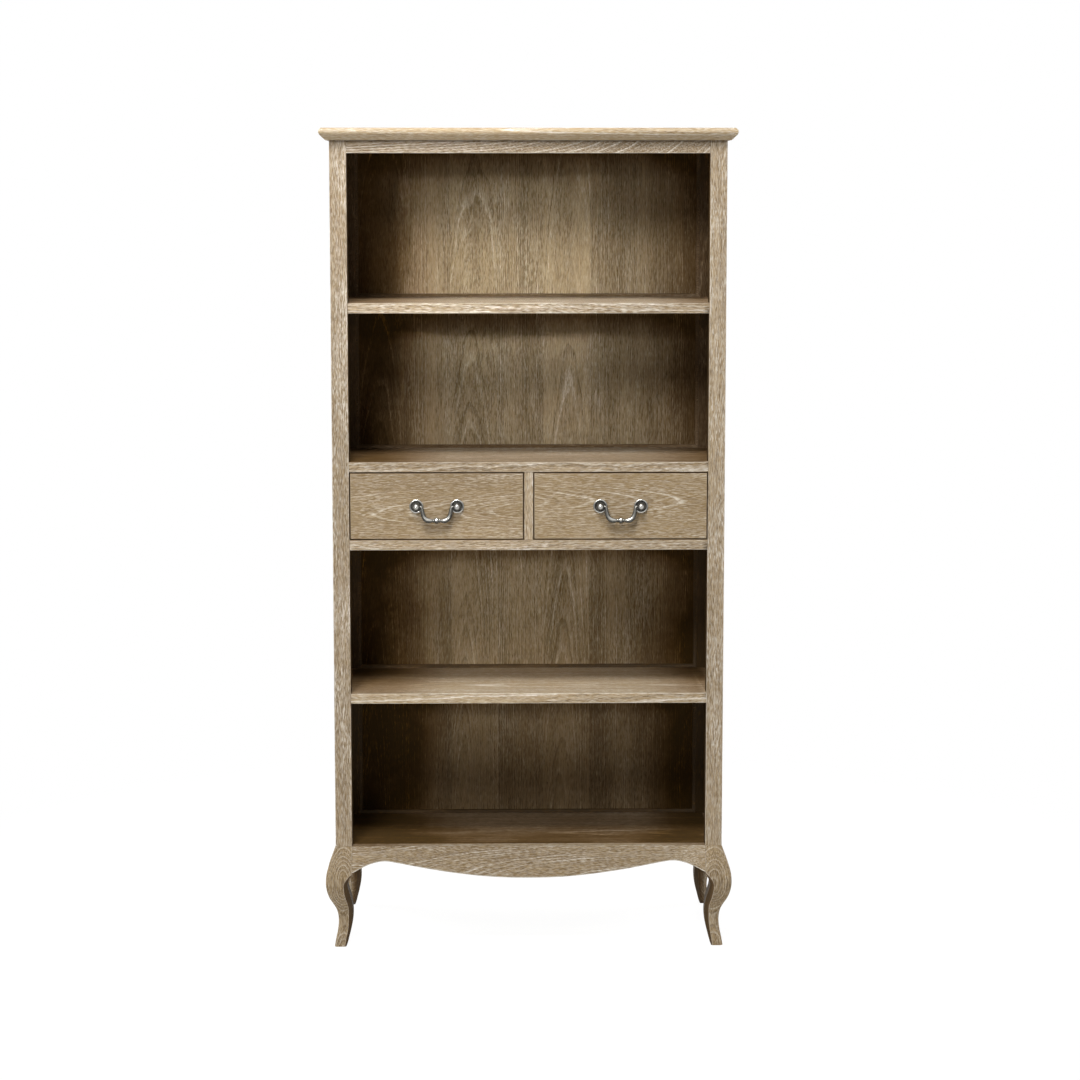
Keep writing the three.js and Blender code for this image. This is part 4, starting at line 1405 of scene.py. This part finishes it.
@dataclass
class MouldedTop:
    """The top board, with a round nose over a long bevel on its front and both sides.

    Attributes:
        nose: Radius of the round nose.
        under_round: Height of the soft turn between the nose and the bevel.
        bevel: Width of the bevel.
        lip: The small step at the bevel's foot.
        steps: Facets round the nose.
        corner: Width of the eased front corners.
        worn: Depth of the wear.
        station: Distance from loop to loop along it.
    """

    nose: float = 9 * MM
    under_round: float = 8 * MM
    bevel: float = 15 * MM
    lip: float = 1 * MM
    steps: int = 9
    corner: float = 1.4 * MM
    worn: float = 0.25 * MM
    station: float = 0.05

    def rows(self, base: float, top: float) -> list[Pair]:
        """Lists the moulding from its foot up.

        Args:
            base: Height of its foot.
            top: Height of the upper face.

        Returns:
            Pairs of setback and height.
        """
        nose_low = top - self.nose
        under_low = nose_low - self.under_round
        ease = self.under_round * self.bevel / (top - base - self.nose) / 2
        rows = [(self.bevel, base), (self.bevel - self.lip, base + self.lip), (ease, under_low)]
        for i in range(1, self.steps):
            t = i / self.steps
            rows.append((ease * (1 - t) ** 2, under_low + self.under_round * t))
        for i in range(self.steps + 1):
            angle = math.pi / 2 * i / self.steps
            rows.append((self.nose * (1 - math.cos(angle)), nose_low + self.nose * math.sin(angle)))
        return rows

    def build(self, stock: Materials) -> None:
        """Builds and dresses the top board.

        Args:
            stock: The finishes.
        """
        low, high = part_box("top_board")
        rings = []
        for setback, z in self.rows(low[2], high[2]):
            left, right, near = low[0] + setback, high[0] - setback, low[1] + setback
            corners = ((left, near), (right, near), (right, high[1]), (left, high[1]))
            rings.append([Vector((x, y, z)) for x, y in corners])
        middle = (low[1] + high[1]) / 2
        piece = pull_through("moulded_top", rings)
        piece.ease(self.corner, 0.0, where=lambda e: all(v.co.y < middle for v in e.verts) and is_upright(e))
        piece.stations(0, self.station).wear(self.worn)
        cut = Cut(Grain.ACROSS, Sawing.RIFT, 0.02, 0.35)
        piece.finish("case", Slot.OAK, stock.figured_oak, ["top_board"], cut)


@dataclass(frozen=True)
class LegShape:
    """The swept leg as rows: height, swell, width to the arris and width to the inner face.

    The heights below the block are shares of the leg, the swells of the knee's swell and the
    widths of the post. The block's rows give only a share of its height and of the swell.

    Attributes:
        height: Of the leg with its block.
        post: Width of the post that stands on it.
        rear_depth: Depth of a rear leg at its block.
        rear_slimmer: How much less a rear leg's foot stands out.
        slim_height: Height up to which it does.
        swell: How far the knee swells past the post.
        block: Height of the square block over the knee.
        knee_round: Radius of the outer corner at the knee.
        arris: Radius of the other corners.
        corner_steps: Facets round the outer corner.
        row_steps: Rings for each row.
        row_shares: The rows below the block.
        block_shares: The block's rows.
    """

    height: float = 246 * MM
    post: float = 40 * MM
    rear_depth: float = 60 * MM
    rear_slimmer: float = 5 * MM
    slim_height: float = 120 * MM
    swell: float = 23 * MM
    block: float = 61 * MM
    knee_round: float = 7 * MM
    arris: float = 0.8 * MM
    corner_steps: int = 6
    row_steps: int = 4
    row_shares: Rows = (
        (0, 0.18, 0.515, 0.6), (0.04, 0.11, 0.55, 0.69), (0.09, 0.01, 0.598, 0.77),
        (0.146, -0.12, 0.668, 0.86), (0.203, -0.2, 0.708, 0.935), (0.252, -0.23, 0.725, 0.98),
        (0.309, -0.18, 0.74, 1.005), (0.358, -0.06, 0.742, 1), (0.398, 0.115, 0.72, 0.98),
        (0.439, 0.345, 0.67, 0.95), (0.48, 0.58, 0.605, 0.91), (0.52, 0.75, 0.552, 0.85),
        (0.561, 0.88, 0.508, 0.785), (0.602, 0.965, 0.49, 0.73), (0.634, 1, 0.492, 0.715),
        (0.667, 1, 0.562, 0.78), (0.695, 0.985, 0.68, 0.855), (0.724, 0.95, 0.825, 0.93),
    )
    block_shares: Rows = ((0, 0.9), (0.16, 0.79), (0.34, 0.63), (0.54, 0.43), (0.74, 0.23), (0.9, 0.08), (1, 0))

    @property
    def block_base(self) -> float:
        """Height at which the block of the leg starts."""
        return self.height - self.block

    def rows(self) -> list[list[float]]:
        """Lists the leg's rows from the floor up, on smooth lines.

        Returns:
            The rows, in metres.
        """
        rows = [
            [height * self.height, swell * self.swell, arris * self.post, inner * self.post]
            for height, swell, arris, inner in self.row_shares
        ]
        rows += [
            [self.block_base + height * self.block, swell * self.swell, self.post, self.post]
            for height, swell in self.block_shares
        ]
        return smooth_rows(rows, self.row_steps)

    def swell_at(self, z: float) -> float:
        """Gives how far the leg stands out of the case.

        Args:
            z: A height.

        Returns:
            The swell there.
        """
        rows = self.rows()
        for (low, start, *_), (high, end, *_) in zip(rows, rows[1:]):
            if z <= high:
                return start + (end - start) * max(0.0, z - low) / (high - low)
        return 0.0

    def round_at(self, z: float) -> float:
        """Gives the radius of the outer corner."""
        share = min(1.0, (self.height - z) / self.block)
        return self.arris + (self.knee_round - self.arris) * share

    def front_section(self, z: float, swell: float, arris: float, inner: float) -> list[Pair]:
        """Draws a front leg's section.

        Args:
            z: Its height.
            swell: How far it stands out.
            arris: Width to the arris.
            inner: Width to the inner face.

        Returns:
            Its points, in from the side and back from the front of the case.
        """
        slant = max(inner - arris, self.arris)
        radius = self.round_at(z)
        angles = [math.pi / 2 * i / self.corner_steps for i in range(self.corner_steps + 1)]
        return [
            *((-swell + radius * (1 - math.cos(a)), -swell + radius * (1 - math.sin(a))) for a in angles),
            (inner - slant, -swell), (inner, slant - swell), (inner, inner - self.arris),
            (inner - self.arris, inner), (slant - swell, inner), (-swell, inner - slant),
        ]

    def rear_section(self, z: float, swell: float, arris: float, inner: float) -> list[Pair]:
        """Draws a rear leg's section.

        Args:
            z: Its height.
            swell: How far it stands out.
            arris: Width to the arris.
            inner: Width to the inner face.

        Returns:
            Its points, in from the side and forward from the back of the case.
        """
        slant = max(inner - arris, self.arris)
        depth = inner * (1 + (self.rear_depth / self.post - 1) * min(1.0, z / self.block_base))
        radius = self.round_at(z)
        swell -= self.rear_slimmer * (1 - eased_step(z, 0.0, self.slim_height))
        return [
            (-swell, 0), (-swell, depth - radius), (radius - swell, depth), (inner - slant, depth),
            (inner, depth - slant), (inner, 0),
        ]


@dataclass(frozen=True)
class ApronShape:
    """A shaped apron: a board with a curved lower edge, whose face may swell to meet the knees.

    Attributes:
        half_length: Half its length between the legs.
        drop: Its height in the middle.
        edge_shares: Shares of the half length and the drop along the lower edge.
        swells: Whether its face swells at the ends.
        thickness: Of the board.
        reach: How far from the leg the swell fades out.
        lower_ease: Width of its eased lower arris.
        ease_steps: Facets round that arris.
        layers: Rows of faces up its face.
        stations: Rings for each stretch of the lower edge.
    """

    half_length: float
    drop: float
    edge_shares: Rows
    swells: bool = True
    thickness: float = 22 * MM
    reach: float = 75 * MM
    lower_ease: float = 3.2 * MM
    ease_steps: int = 4
    layers: int = 12
    stations: int = 6

    def edge(self, leg: LegShape) -> list[list[float]]:
        """Lists the lower edge from end to end.

        Args:
            leg: The leg that it meets.

        Returns:
            Places along it and heights from the floor.
        """
        half = [[along * self.half_length, down * self.drop] for along, down in self.edge_shares]
        half.append([self.half_length, leg.block])
        mirrored = [[-along, down] for along, down in reversed(half[1:])]
        return [[along, leg.height - down] for along, down in smooth_rows([*mirrored, *half], self.stations)]

    def build(self, name: str, leg: LegShape, place: Callable[[float, float, float], Vector]) -> Workpiece:
        """Builds the apron.

        Args:
            name: The piece's name.
            leg: The leg that it meets.
            place: Turns a place along, a depth outwards and a height into a point.

        Returns:
            The apron, with its lower arris eased.
        """
        rings, fade_from = [], self.half_length - self.reach
        for along, low in self.edge(leg):
            fade = eased_step(abs(along), fade_from, self.half_length) if self.swells else 0.0
            heights = [low + (leg.height - low) * i / self.layers for i in range(self.layers + 1)]
            face = [place(along, leg.swell_at(z) * fade, z) for z in heights]
            rings.append([place(along, -self.thickness, low), *face, place(along, -self.thickness, leg.height)])
        piece = pull_through(name, rings)
        lower = {spot(ring[i], CLOSE_DIGITS) for ring in rings for i in (0, 1)}
        return piece.ease(
            self.lower_ease, 0.0, self.ease_steps,
            where=lambda e: all(spot(v.co, CLOSE_DIGITS) in lower for v in e.verts),
        )


@dataclass
class Feet:
    """Swept legs, shaped aprons and the blocks behind them.

    Attributes:
        leg: The shape of the legs.
        half_case: Half the width over the posts.
        front: Place of the posts' front.
        back: Place of the posts' back.
        arris: Width of the legs' eased arrises.
        worn: Depth of the wear on them.
        worn_pitch: Length of its waves.
        block_arris: Width of the corner blocks' eased arrises.
        block_shortest: The shortest edge of a block that is eased.
        front_drop: Height of the front apron in the middle.
        rear_drop: Height of the rear apron.
        side_drop: Height of the side aprons in the middle.
        front_edge: Shares of half the length and of the drop, along the front apron's lower edge.
        rear_edge: The same of the rear apron.
        side_edge: The same of the side aprons.
    """

    leg: LegShape = LegShape()
    half_case: float = 462.5 * MM
    front: float = -176 * MM
    back: float = 194 * MM
    arris: float = 2.2 * MM
    worn: float = 0.25 * MM
    worn_pitch: float = 0.03
    block_arris: float = 1.2 * MM
    block_shortest: float = 0.01
    front_drop: float = 79 * MM
    rear_drop: float = 60 * MM
    side_drop: float = 66 * MM
    front_edge: Rows = (
        (0, 1), (0.19, 0.975), (0.37, 0.88), (0.55, 0.735), (0.73, 0.55), (0.82, 0.48), (0.91, 0.565),
    )
    rear_edge: Rows = ((0, 1), (0.5, 1))
    side_edge: Rows = ((0, 1), (0.3, 0.93), (0.58, 0.75), (0.78, 0.7))

    def legs(self, stock: Materials) -> None:
        """Builds and dresses the four legs.

        Args:
            stock: The finishes.
        """
        cut = Cut(Grain.UPRIGHT, Sawing.FLAT, 0.015, outward=Grain.FORE_AND_AFT)
        for hand, side in HANDS.items():
            for end, start, turn, section in (
                ("front", self.front, 1, self.leg.front_section),
                ("rear", self.back, -1, self.leg.rear_section),
            ):
                rings = [
                    [Vector((side * (self.half_case - u), start + turn * v, row[0])) for u, v in section(*row)]
                    for row in self.leg.rows()
                ]
                piece = pull_through(f"{hand}_{end}_swept_leg", rings)
                piece.ease(self.arris, 0.0, where=is_upright).wear(self.worn, self.worn_pitch)
                piece.finish("case", Slot.OAK, stock.leg_oak, [f"{hand}_{end}_leg"], cut)

    def aprons(self, stock: Materials) -> None:
        """Builds and dresses the four aprons.

        Args:
            stock: The finishes.
        """
        half_opening = self.half_case - self.leg.post
        shape = ApronShape(half_opening, self.front_drop, self.front_edge)
        piece = shape.build("shaped_front_apron", self.leg, lambda x, out, z: Vector((x, self.front - out, z)))
        cut = Cut(Grain.ACROSS, Sawing.SLAB, 0.09, 0.0, 0.03)
        piece.finish("case", Slot.OAK, stock.apron_oak, ["front_apron"], cut)
        shape = ApronShape(half_opening, self.rear_drop, self.rear_edge, swells=False)
        piece = shape.build("plain_rear_apron", self.leg, lambda x, out, z: Vector((x, self.back + out, z)))
        piece.finish("case", Slot.OAK, stock.frame_oak, ["rear_apron"], Cut(Grain.ACROSS, Sawing.FLAT, 0.04))
        near, far = self.front + self.leg.post, self.back - self.leg.rear_depth
        shape = ApronShape((far - near) / 2, self.side_drop, self.side_edge)
        cut = Cut(Grain.FORE_AND_AFT, Sawing.FLAT, 0.05, 0.02)
        for hand, side in HANDS.items():
            piece = shape.build(
                f"shaped_{hand}_apron", self.leg,
                lambda y, out, z, side=side: Vector((side * (self.half_case + out), (near + far) / 2 + y, z)),
            )
            piece.finish("case", Slot.OAK, stock.frame_oak, [f"{hand}_side_apron"], cut)

    def build(self, stock: Materials) -> None:
        """Builds and dresses every piece of the foot of the case.

        Args:
            stock: The finishes.
        """
        self.legs(stock)
        self.aprons(stock)
        for hand in HANDS:
            for end in ENDS:
                dress_node(
                    f"{hand}_{end}_corner_block", stock.box_oak, Cut(Grain.ACROSS), self.block_arris,
                    shortest=self.block_shortest,
                )


@dataclass
class Shelving:
    """Shelves, back and the beads round it.

    Attributes:
        arris: Width of the shelves' eased arrises.
        worn: Depth of the wear on them.
        lean: Slope of the pith to a shelf.
        back_station: Distance from loop to loop on the back.
    """

    arris: float = 1.6 * MM
    worn: float = 0.35 * MM
    lean: float = 0.03
    back_station: float = 0.03

    def build(self, stock: Materials) -> None:
        """Builds and dresses the shelves, the back and the beads.

        Args:
            stock: The finishes.
        """
        # Each shelf's upper face gets its own share of painted shade.
        for node, material, tone, painted_shade in (
            ("upper_shelf", stock.frame_oak, 0.0, 0.1), ("drawer_deck", stock.frame_oak, 0.0, 0.4),
            ("lower_shelf", stock.figured_oak, 0.22, 0.0), ("bottom_board", stock.figured_oak, 0.0, 0.9),
        ):
            cut = Cut(Grain.ACROSS, Sawing.RIFT, self.lean, tone, painted_shade=painted_shade)
            dress_node(node, material, cut, self.arris, self.worn)
        leaves = Leaves()
        low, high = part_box("back_panel")
        back = Workpiece.from_node("back_panel")
        for seam in leaves.seams(low[0], high[0]):
            back.part_at(0, seam)
        back.stations(2, self.back_station).stations(0, self.back_station)
        cut = Cut(Grain.UPRIGHT, Sawing.HEART, 0.06)
        back.finish("case", Slot.VENEER, stock.veneer, ["back_panel"], cut, leaves)
        for bay in BAYS:
            dress_node(f"{bay}_bay_bead", stock.frame_oak, Cut(Grain.ACROSS, tone=0.1))


@dataclass
class DrawerBed:
    """The frame that carries the drawers.

    Attributes:
        rail_arris: Width of the front rail's eased arrises.
        rail_wear: Depth of the wear on them.
        divider_arris: Width of the divider's eased arrises.
        runner_arris: Width of the eased arrises of runners and stops.
        stop_shortest: The shortest edge of a stop that is eased.
    """

    rail_arris: float = 1.5 * MM
    rail_wear: float = 0.3 * MM
    divider_arris: float = 1.2 * MM
    runner_arris: float = 0.8 * MM
    stop_shortest: float = 0.004

    def build(self, stock: Materials) -> None:
        """Builds and dresses the rails, runners, divider, stops and dust panel.

        Args:
            stock: The finishes.
        """
        rail, along = Cut(Grain.ACROSS, Sawing.RIFT, 0.03, 0.05), Cut(Grain.FORE_AND_AFT)
        dress_node("drawer_front_rail", stock.frame_oak, rail, self.rail_arris, self.rail_wear)
        dress_node("drawer_divider", stock.frame_oak, Cut(Grain.UPRIGHT, tone=0.1), self.divider_arris)
        dress_node("drawer_rear_rail", stock.box_oak, rail)
        dress_node("dust_panel", stock.box_oak, Cut(Grain.FORE_AND_AFT, Sawing.FLAT), slot=Slot.VENEER)
        for place in (*HANDS, "centre"):
            dress_node(f"{place}_drawer_runner", stock.box_oak, along, self.runner_arris)
        for hand in HANDS:
            dress_node(
                f"{hand}_drawer_stop", stock.box_oak, along, self.runner_arris, shortest=self.stop_shortest
            )


@dataclass
class Drawer:
    """One drawer with its drop pull.

    Attributes:
        hand: Which of the two it is.
        arris: Width of its front's eased arrises.
    """

    hand: str
    arris: float = 1.7 * MM

    def build(self, stock: Materials) -> None:
        """Builds and dresses the drawer's box and its pull.

        Args:
            stock: The finishes.
        """
        body = f"{self.hand}_drawer"
        front = Cut(Grain.ACROSS, Sawing.FLAT, 0.06)
        dress_node(f"{body}_front", stock.front_oak, front, self.arris, body=body)
        for part, grain in (
            ("left_side", Grain.FORE_AND_AFT), ("right_side", Grain.FORE_AND_AFT),
            ("back", Grain.ACROSS), ("bottom", Grain.ACROSS),
        ):
            dress_node(f"{body}_{part}", stock.box_oak, Cut(grain), body=body, slot=Slot.BOX_OAK)
        DropPull(self.hand).build(stock)


@dataclass(frozen=True)
class RubbingAndHighlights:
    """Where a pull is rubbed bright through its patina, and where highlights and shade are painted on it.

    Attributes:
        ball_reach: Share of the ball's radius within which a point belongs to the ball.
        rim_sides: How bright the rose's rim is at its sides, in painted shade.
        rim_ends: How much brighter it is at its top and foot, a painted highlight.
        rim_turn: Limits of the slope between the two.
        rim_full: Share of the rim, from outside, at which it is at its brightest.
        crown: How bright the ball's crown is, rubbed and with a painted highlight.
        crown_start: Share of the ball's radius, forward of its middle, at which the crown starts.
        groove: How dark the grooves beside the bead are.
        groove_low: Share of the drop below which they lie.
        arm: How bright the bail's arms are at the top, in painted shade.
        arm_turn: Shares of the drop between which they turn fully bright.
        up: How much the upper side counts towards its rubbed brightness and painted highlight.
        forward: How much the front counts towards its rubbed brightness and painted highlight.
        limits: Limits between which a face turns bright with the rubbing and the painted highlight.
    """

    ball_reach: float = 1.05
    rim_sides: float = 0.3
    rim_ends: float = 0.6
    rim_turn: Pair = (0.3, 0.9)
    rim_full: float = 0.6
    crown: float = 0.75
    crown_start: float = 0.55
    groove: float = 0.95
    groove_low: float = 0.8
    arm: float = 0.25
    arm_turn: Pair = (0.4, 0.9)
    up: float = 0.6
    forward: float = 0.8
    limits: Pair = (0.72, 1.0)


@dataclass
class DropPull:
    """A swinging drop pull: two roses, each with a ball, and a bail between them.

    Attributes:
        hand: Which drawer it is on.
        rose: Radius of a rose.
        rim: Width of its raised rim.
        rose_height: Height of the rim.
        rim_rise: Share of that height which the rim's round takes.
        rim_steps: Facets over the rim.
        dish: Height of the rose's dished face.
        dish_shares: Shares of the dish's radius and height, from the rim in to the neck.
        ball: Radius of the ball.
        ball_steps: Facets over the ball.
        standoff: Height of the ball's middle.
        neck_share: Share of the ball's radius that the neck has.
        play: Gap between the ball and the bail.
        shoulder: Length of the bail's shoulder.
        pin: Radius of the bail's pin.
        pin_length: Length of the pin.
        pin_flare: How much wider the pin is at its shoulder.
        drop: How far the bail hangs down.
        turns: Facets round a rose.
        sides: Facets round the bail.
        row_steps: Rings for each row of the bail.
        grooves: Shares of half the span between which a groove lies beside the bead.
        arm_rows: Shares of half the bail's span and of its drop, and its radius in millimetres.
        rubbing_and_highlights: Where it is rubbed bright and where highlights and shade are painted.
    """

    hand: str
    rose: float = 16.6 * MM
    rim: float = 4.4 * MM
    rose_height: float = 4.4 * MM
    rim_rise: float = 0.4
    rim_steps: int = 6
    dish: float = 1.3 * MM
    dish_shares: Rows = ((0.93, 1.15), (0.82, 1), (0.5, 1), (0.42, 1.2), (0.36, 2.2))
    ball: float = 8.5 * MM
    ball_steps: int = 12
    standoff: float = 13 * MM
    neck_share: float = 0.5
    play: float = 0.4 * MM
    shoulder: float = 2.5 * MM
    pin: float = 2 * MM
    pin_length: float = 1.6 * MM
    pin_flare: float = 0.4 * MM
    drop: float = 33 * MM
    turns: int = 40
    sides: int = 20
    row_steps: int = 3
    grooves: Rows = ((0.085, 0.12), (0.16, 0.21))
    arm_rows: Rows = (
        (1, 0, 2.7), (0.955, 0.07, 3.4), (0.925, 0.2, 4.0), (0.905, 0.38, 4.5), (0.865, 0.58, 5.0),
        (0.795, 0.77, 5.5), (0.68, 0.91, 6.0), (0.54, 0.985, 6.2), (0.4, 1, 5.4), (0.28, 1, 3.9),
        (0.235, 1, 3.5), (0.205, 1, 4.9), (0.165, 1, 4.9), (0.135, 1, 3.7), (0.1, 1, 6.2), (0.035, 1, 6.8),
    )
    rubbing_and_highlights: RubbingAndHighlights = RubbingAndHighlights()

    def rose_rows(self) -> list[Pair]:
        """Lists the turned post from its back to the ball's crown.

        Returns:
            Pairs of radius and height.
        """
        half_rim, rise = self.rim / 2, self.rose_height * self.rim_rise
        rows = [(0.0, 0.0), (self.rose - half_rim / 2, 0.0), (self.rose, rise)]
        for i in range(self.rim_steps + 1):
            angle = math.pi * i / self.rim_steps
            height = self.rose_height * (1 - self.rim_rise) + rise * math.sin(angle)
            rows.append((self.rose - half_rim + half_rim * math.cos(angle), height))
        inside = self.rose - self.rim
        rows += [(inside * out, self.dish * up) for out, up in self.dish_shares]
        neck = math.asin(self.neck_share)
        for i in range(self.ball_steps):
            angle = neck + (math.pi - neck) * i / self.ball_steps
            rows.append((self.ball * abs(math.sin(angle)), self.standoff - self.ball * math.cos(angle)))
        return [*rows, (0.0, self.standoff + self.ball)]

    def turned_post(self, name: str, x: float, front: float, z: float) -> Workpiece:
        """Turns a rose with its ball on a lathe.

        Args:
            name: The piece's name.
            x: Where it stands across the case.
            front: Place of the drawer's front.
            z: Its height.

        Returns:
            The piece.
        """
        piece = Workpiece(name)
        bm = piece.bm
        verts = [bm.verts.new((x + radius, front - height, z)) for radius, height in self.rose_rows()]
        edges = [bm.edges.new(pair) for pair in zip(verts, verts[1:])]
        bmesh.ops.spin(
            bm, geom=[*verts, *edges], cent=(x, front, z), axis=(0, 1, 0), dvec=(0, 0, 0), angle=2 * math.pi,
            steps=self.turns, use_merge=True, use_duplicate=False,
        )
        bmesh.ops.remove_doubles(bm, verts=bm.verts, dist=MERGE_DISTANCE)
        bmesh.ops.recalc_face_normals(bm, faces=bm.faces)
        return piece

    def bail(self, name: str, middle: float, front: float, z: float, centres: float) -> Workpiece:
        """Casts the bail, hanging between two balls.

        Args:
            name: The piece's name.
            middle: Its middle across the case.
            front: Place of the drawer's front.
            z: Height of the balls.
            centres: Distance between the balls' middles.

        Returns:
            The piece.
        """
        root = centres / 2 - self.ball - self.play
        half = root - self.shoulder
        side = [
            (root + self.play + self.pin_length, 0.0, self.pin), (root + self.play, 0.0, self.pin),
            (root, 0.0, self.pin + self.pin_flare),
            *((across * half, down * self.drop, radius * MM) for across, down, radius in self.arm_rows),
        ]
        rows = smooth_rows([*([-a, d, r] for a, d, r in side), *reversed(side)], self.row_steps)
        angles = [2 * math.pi * k / self.sides for k in range(self.sides)]
        rings = []
        for i, (x, down, radius) in enumerate(rows):
            before, after = rows[max(0, i - 1)], rows[min(len(rows) - 1, i + 1)]
            run = Vector((after[0] - before[0], 0, before[1] - after[1])).normalized()
            out = Vector((-run.z, 0, run.x))
            centre = Vector((middle + x, front - self.standoff, z - down))
            rings.append([
                centre + out * radius * math.cos(a) + Vector((0, radius * math.sin(a), 0)) for a in angles
            ])
        return pull_through(name, rings)

    def rose_patina(self, middle: Triple, point: Vector, _facing: Vector) -> float:
        """Tells how dark a rose is: patina in its dish and behind its ball, painted shade at the rim's sides, a
        painted highlight at its top and foot, and a rubbed, painted highlight on the ball's crown.

        Args:
            middle: Where the rose stands on the drawer's front.
            point: The point.
            _facing: The outward normal there, which makes no difference.

        Returns:
            The share of the patina and painted shade.
        """
        rub, (x, front, z) = self.rubbing_and_highlights, middle
        out = math.hypot(point.x - x, point.z - z)
        if out > self.ball * rub.ball_reach:
            # Painted highlight on the rim's top and foot, painted shade at its sides.
            lit = rub.rim_sides + rub.rim_ends * eased_step(abs(point.z - z) / out, *rub.rim_turn)
            return 1 - lit * eased_step(out, self.rose - self.rim, self.rose - self.rim * rub.rim_full)
        start = self.standoff + self.ball * rub.crown_start
        # The ball's crown rubbed bright, and a painted highlight there as well.
        return 1 - rub.crown * eased_step(front - point.y, start, self.standoff + self.ball)

    def bail_patina_and_shade(self, middle: Pair, centres: float, point: Vector, facing: Vector) -> float:
        """Tells how dark the bail is: patina in the grooves beside the bead, painted shade underneath, behind
        and on the upper arms, and a rubbed, painted highlight on faces that look up and forward.

        Args:
            middle: The place between the balls, across and up.
            centres: Distance between the balls' middles.
            point: The point.
            facing: The outward normal there.

        Returns:
            The share of the patina and painted shade.
        """
        rub = self.rubbing_and_highlights
        across = abs(point.x - middle[0]) / (centres / 2)
        low = (middle[1] - point.z) / self.drop
        in_groove = low > rub.groove_low and any(a < across < b for a, b in self.grooves)
        # Painted shade on the upper arms and a rubbed, painted highlight on faces that look up and forward.
        rubbed = rub.arm + (1 - rub.arm) * eased_step(low, *rub.arm_turn)
        rubbed *= eased_step(facing.z * rub.up - facing.y * rub.forward, *rub.limits)
        return max(rub.groove if in_groove else 0.0, 1 - rubbed)

    def build(self, stock: Materials) -> None:
        """Builds and dresses the pull.

        Args:
            stock: The finishes.
        """
        body, posts = f"{self.hand}_drawer", []
        for side in HANDS:
            node = f"{self.hand}_pull_{side}_post"
            low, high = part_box(node)
            x, front, z = (low[0] + high[0]) / 2, high[1], (low[2] + high[2]) / 2
            posts.append(x)
            piece = self.turned_post(f"{self.hand}_{side}_rose", x, front, z)
            patina = partial(self.rose_patina, (x, front, z))
            piece.finish(body, Slot.PEWTER, stock.pewter, [node], patina_and_shade_at=patina)
            node = f"{self.hand}_pull_{side}_screw"
            Workpiece.from_node(node).finish(body, Slot.STEEL, stock.steel, [node], patina_and_shade_at=lambda *_: 0.0)
        middle, centres = sum(posts) / 2, posts[1] - posts[0]
        piece = self.bail(f"{self.hand}_bail_casting", middle, front, z, centres)
        patina = partial(self.bail_patina_and_shade, (middle, z), centres)
        nodes = [f"{self.hand}_pull_bail"]
        piece.finish(f"{self.hand}_bail", Slot.PEWTER, stock.pewter, nodes, patina_and_shade_at=patina)


def main() -> None:
    """Builds the bookcase, the studio and the camera."""
    logging.basicConfig(level=logging.INFO, format="%(name)s %(message)s")
    PhotoCamera().build()
    Studio().build()
    stock = Materials()
    for assembly in (Carcase(), Feet(), Shelving(), DrawerBed(), *(Drawer(hand) for hand in HANDS)):
        assembly.build(stock)


if __name__ == "__main__":
    main()
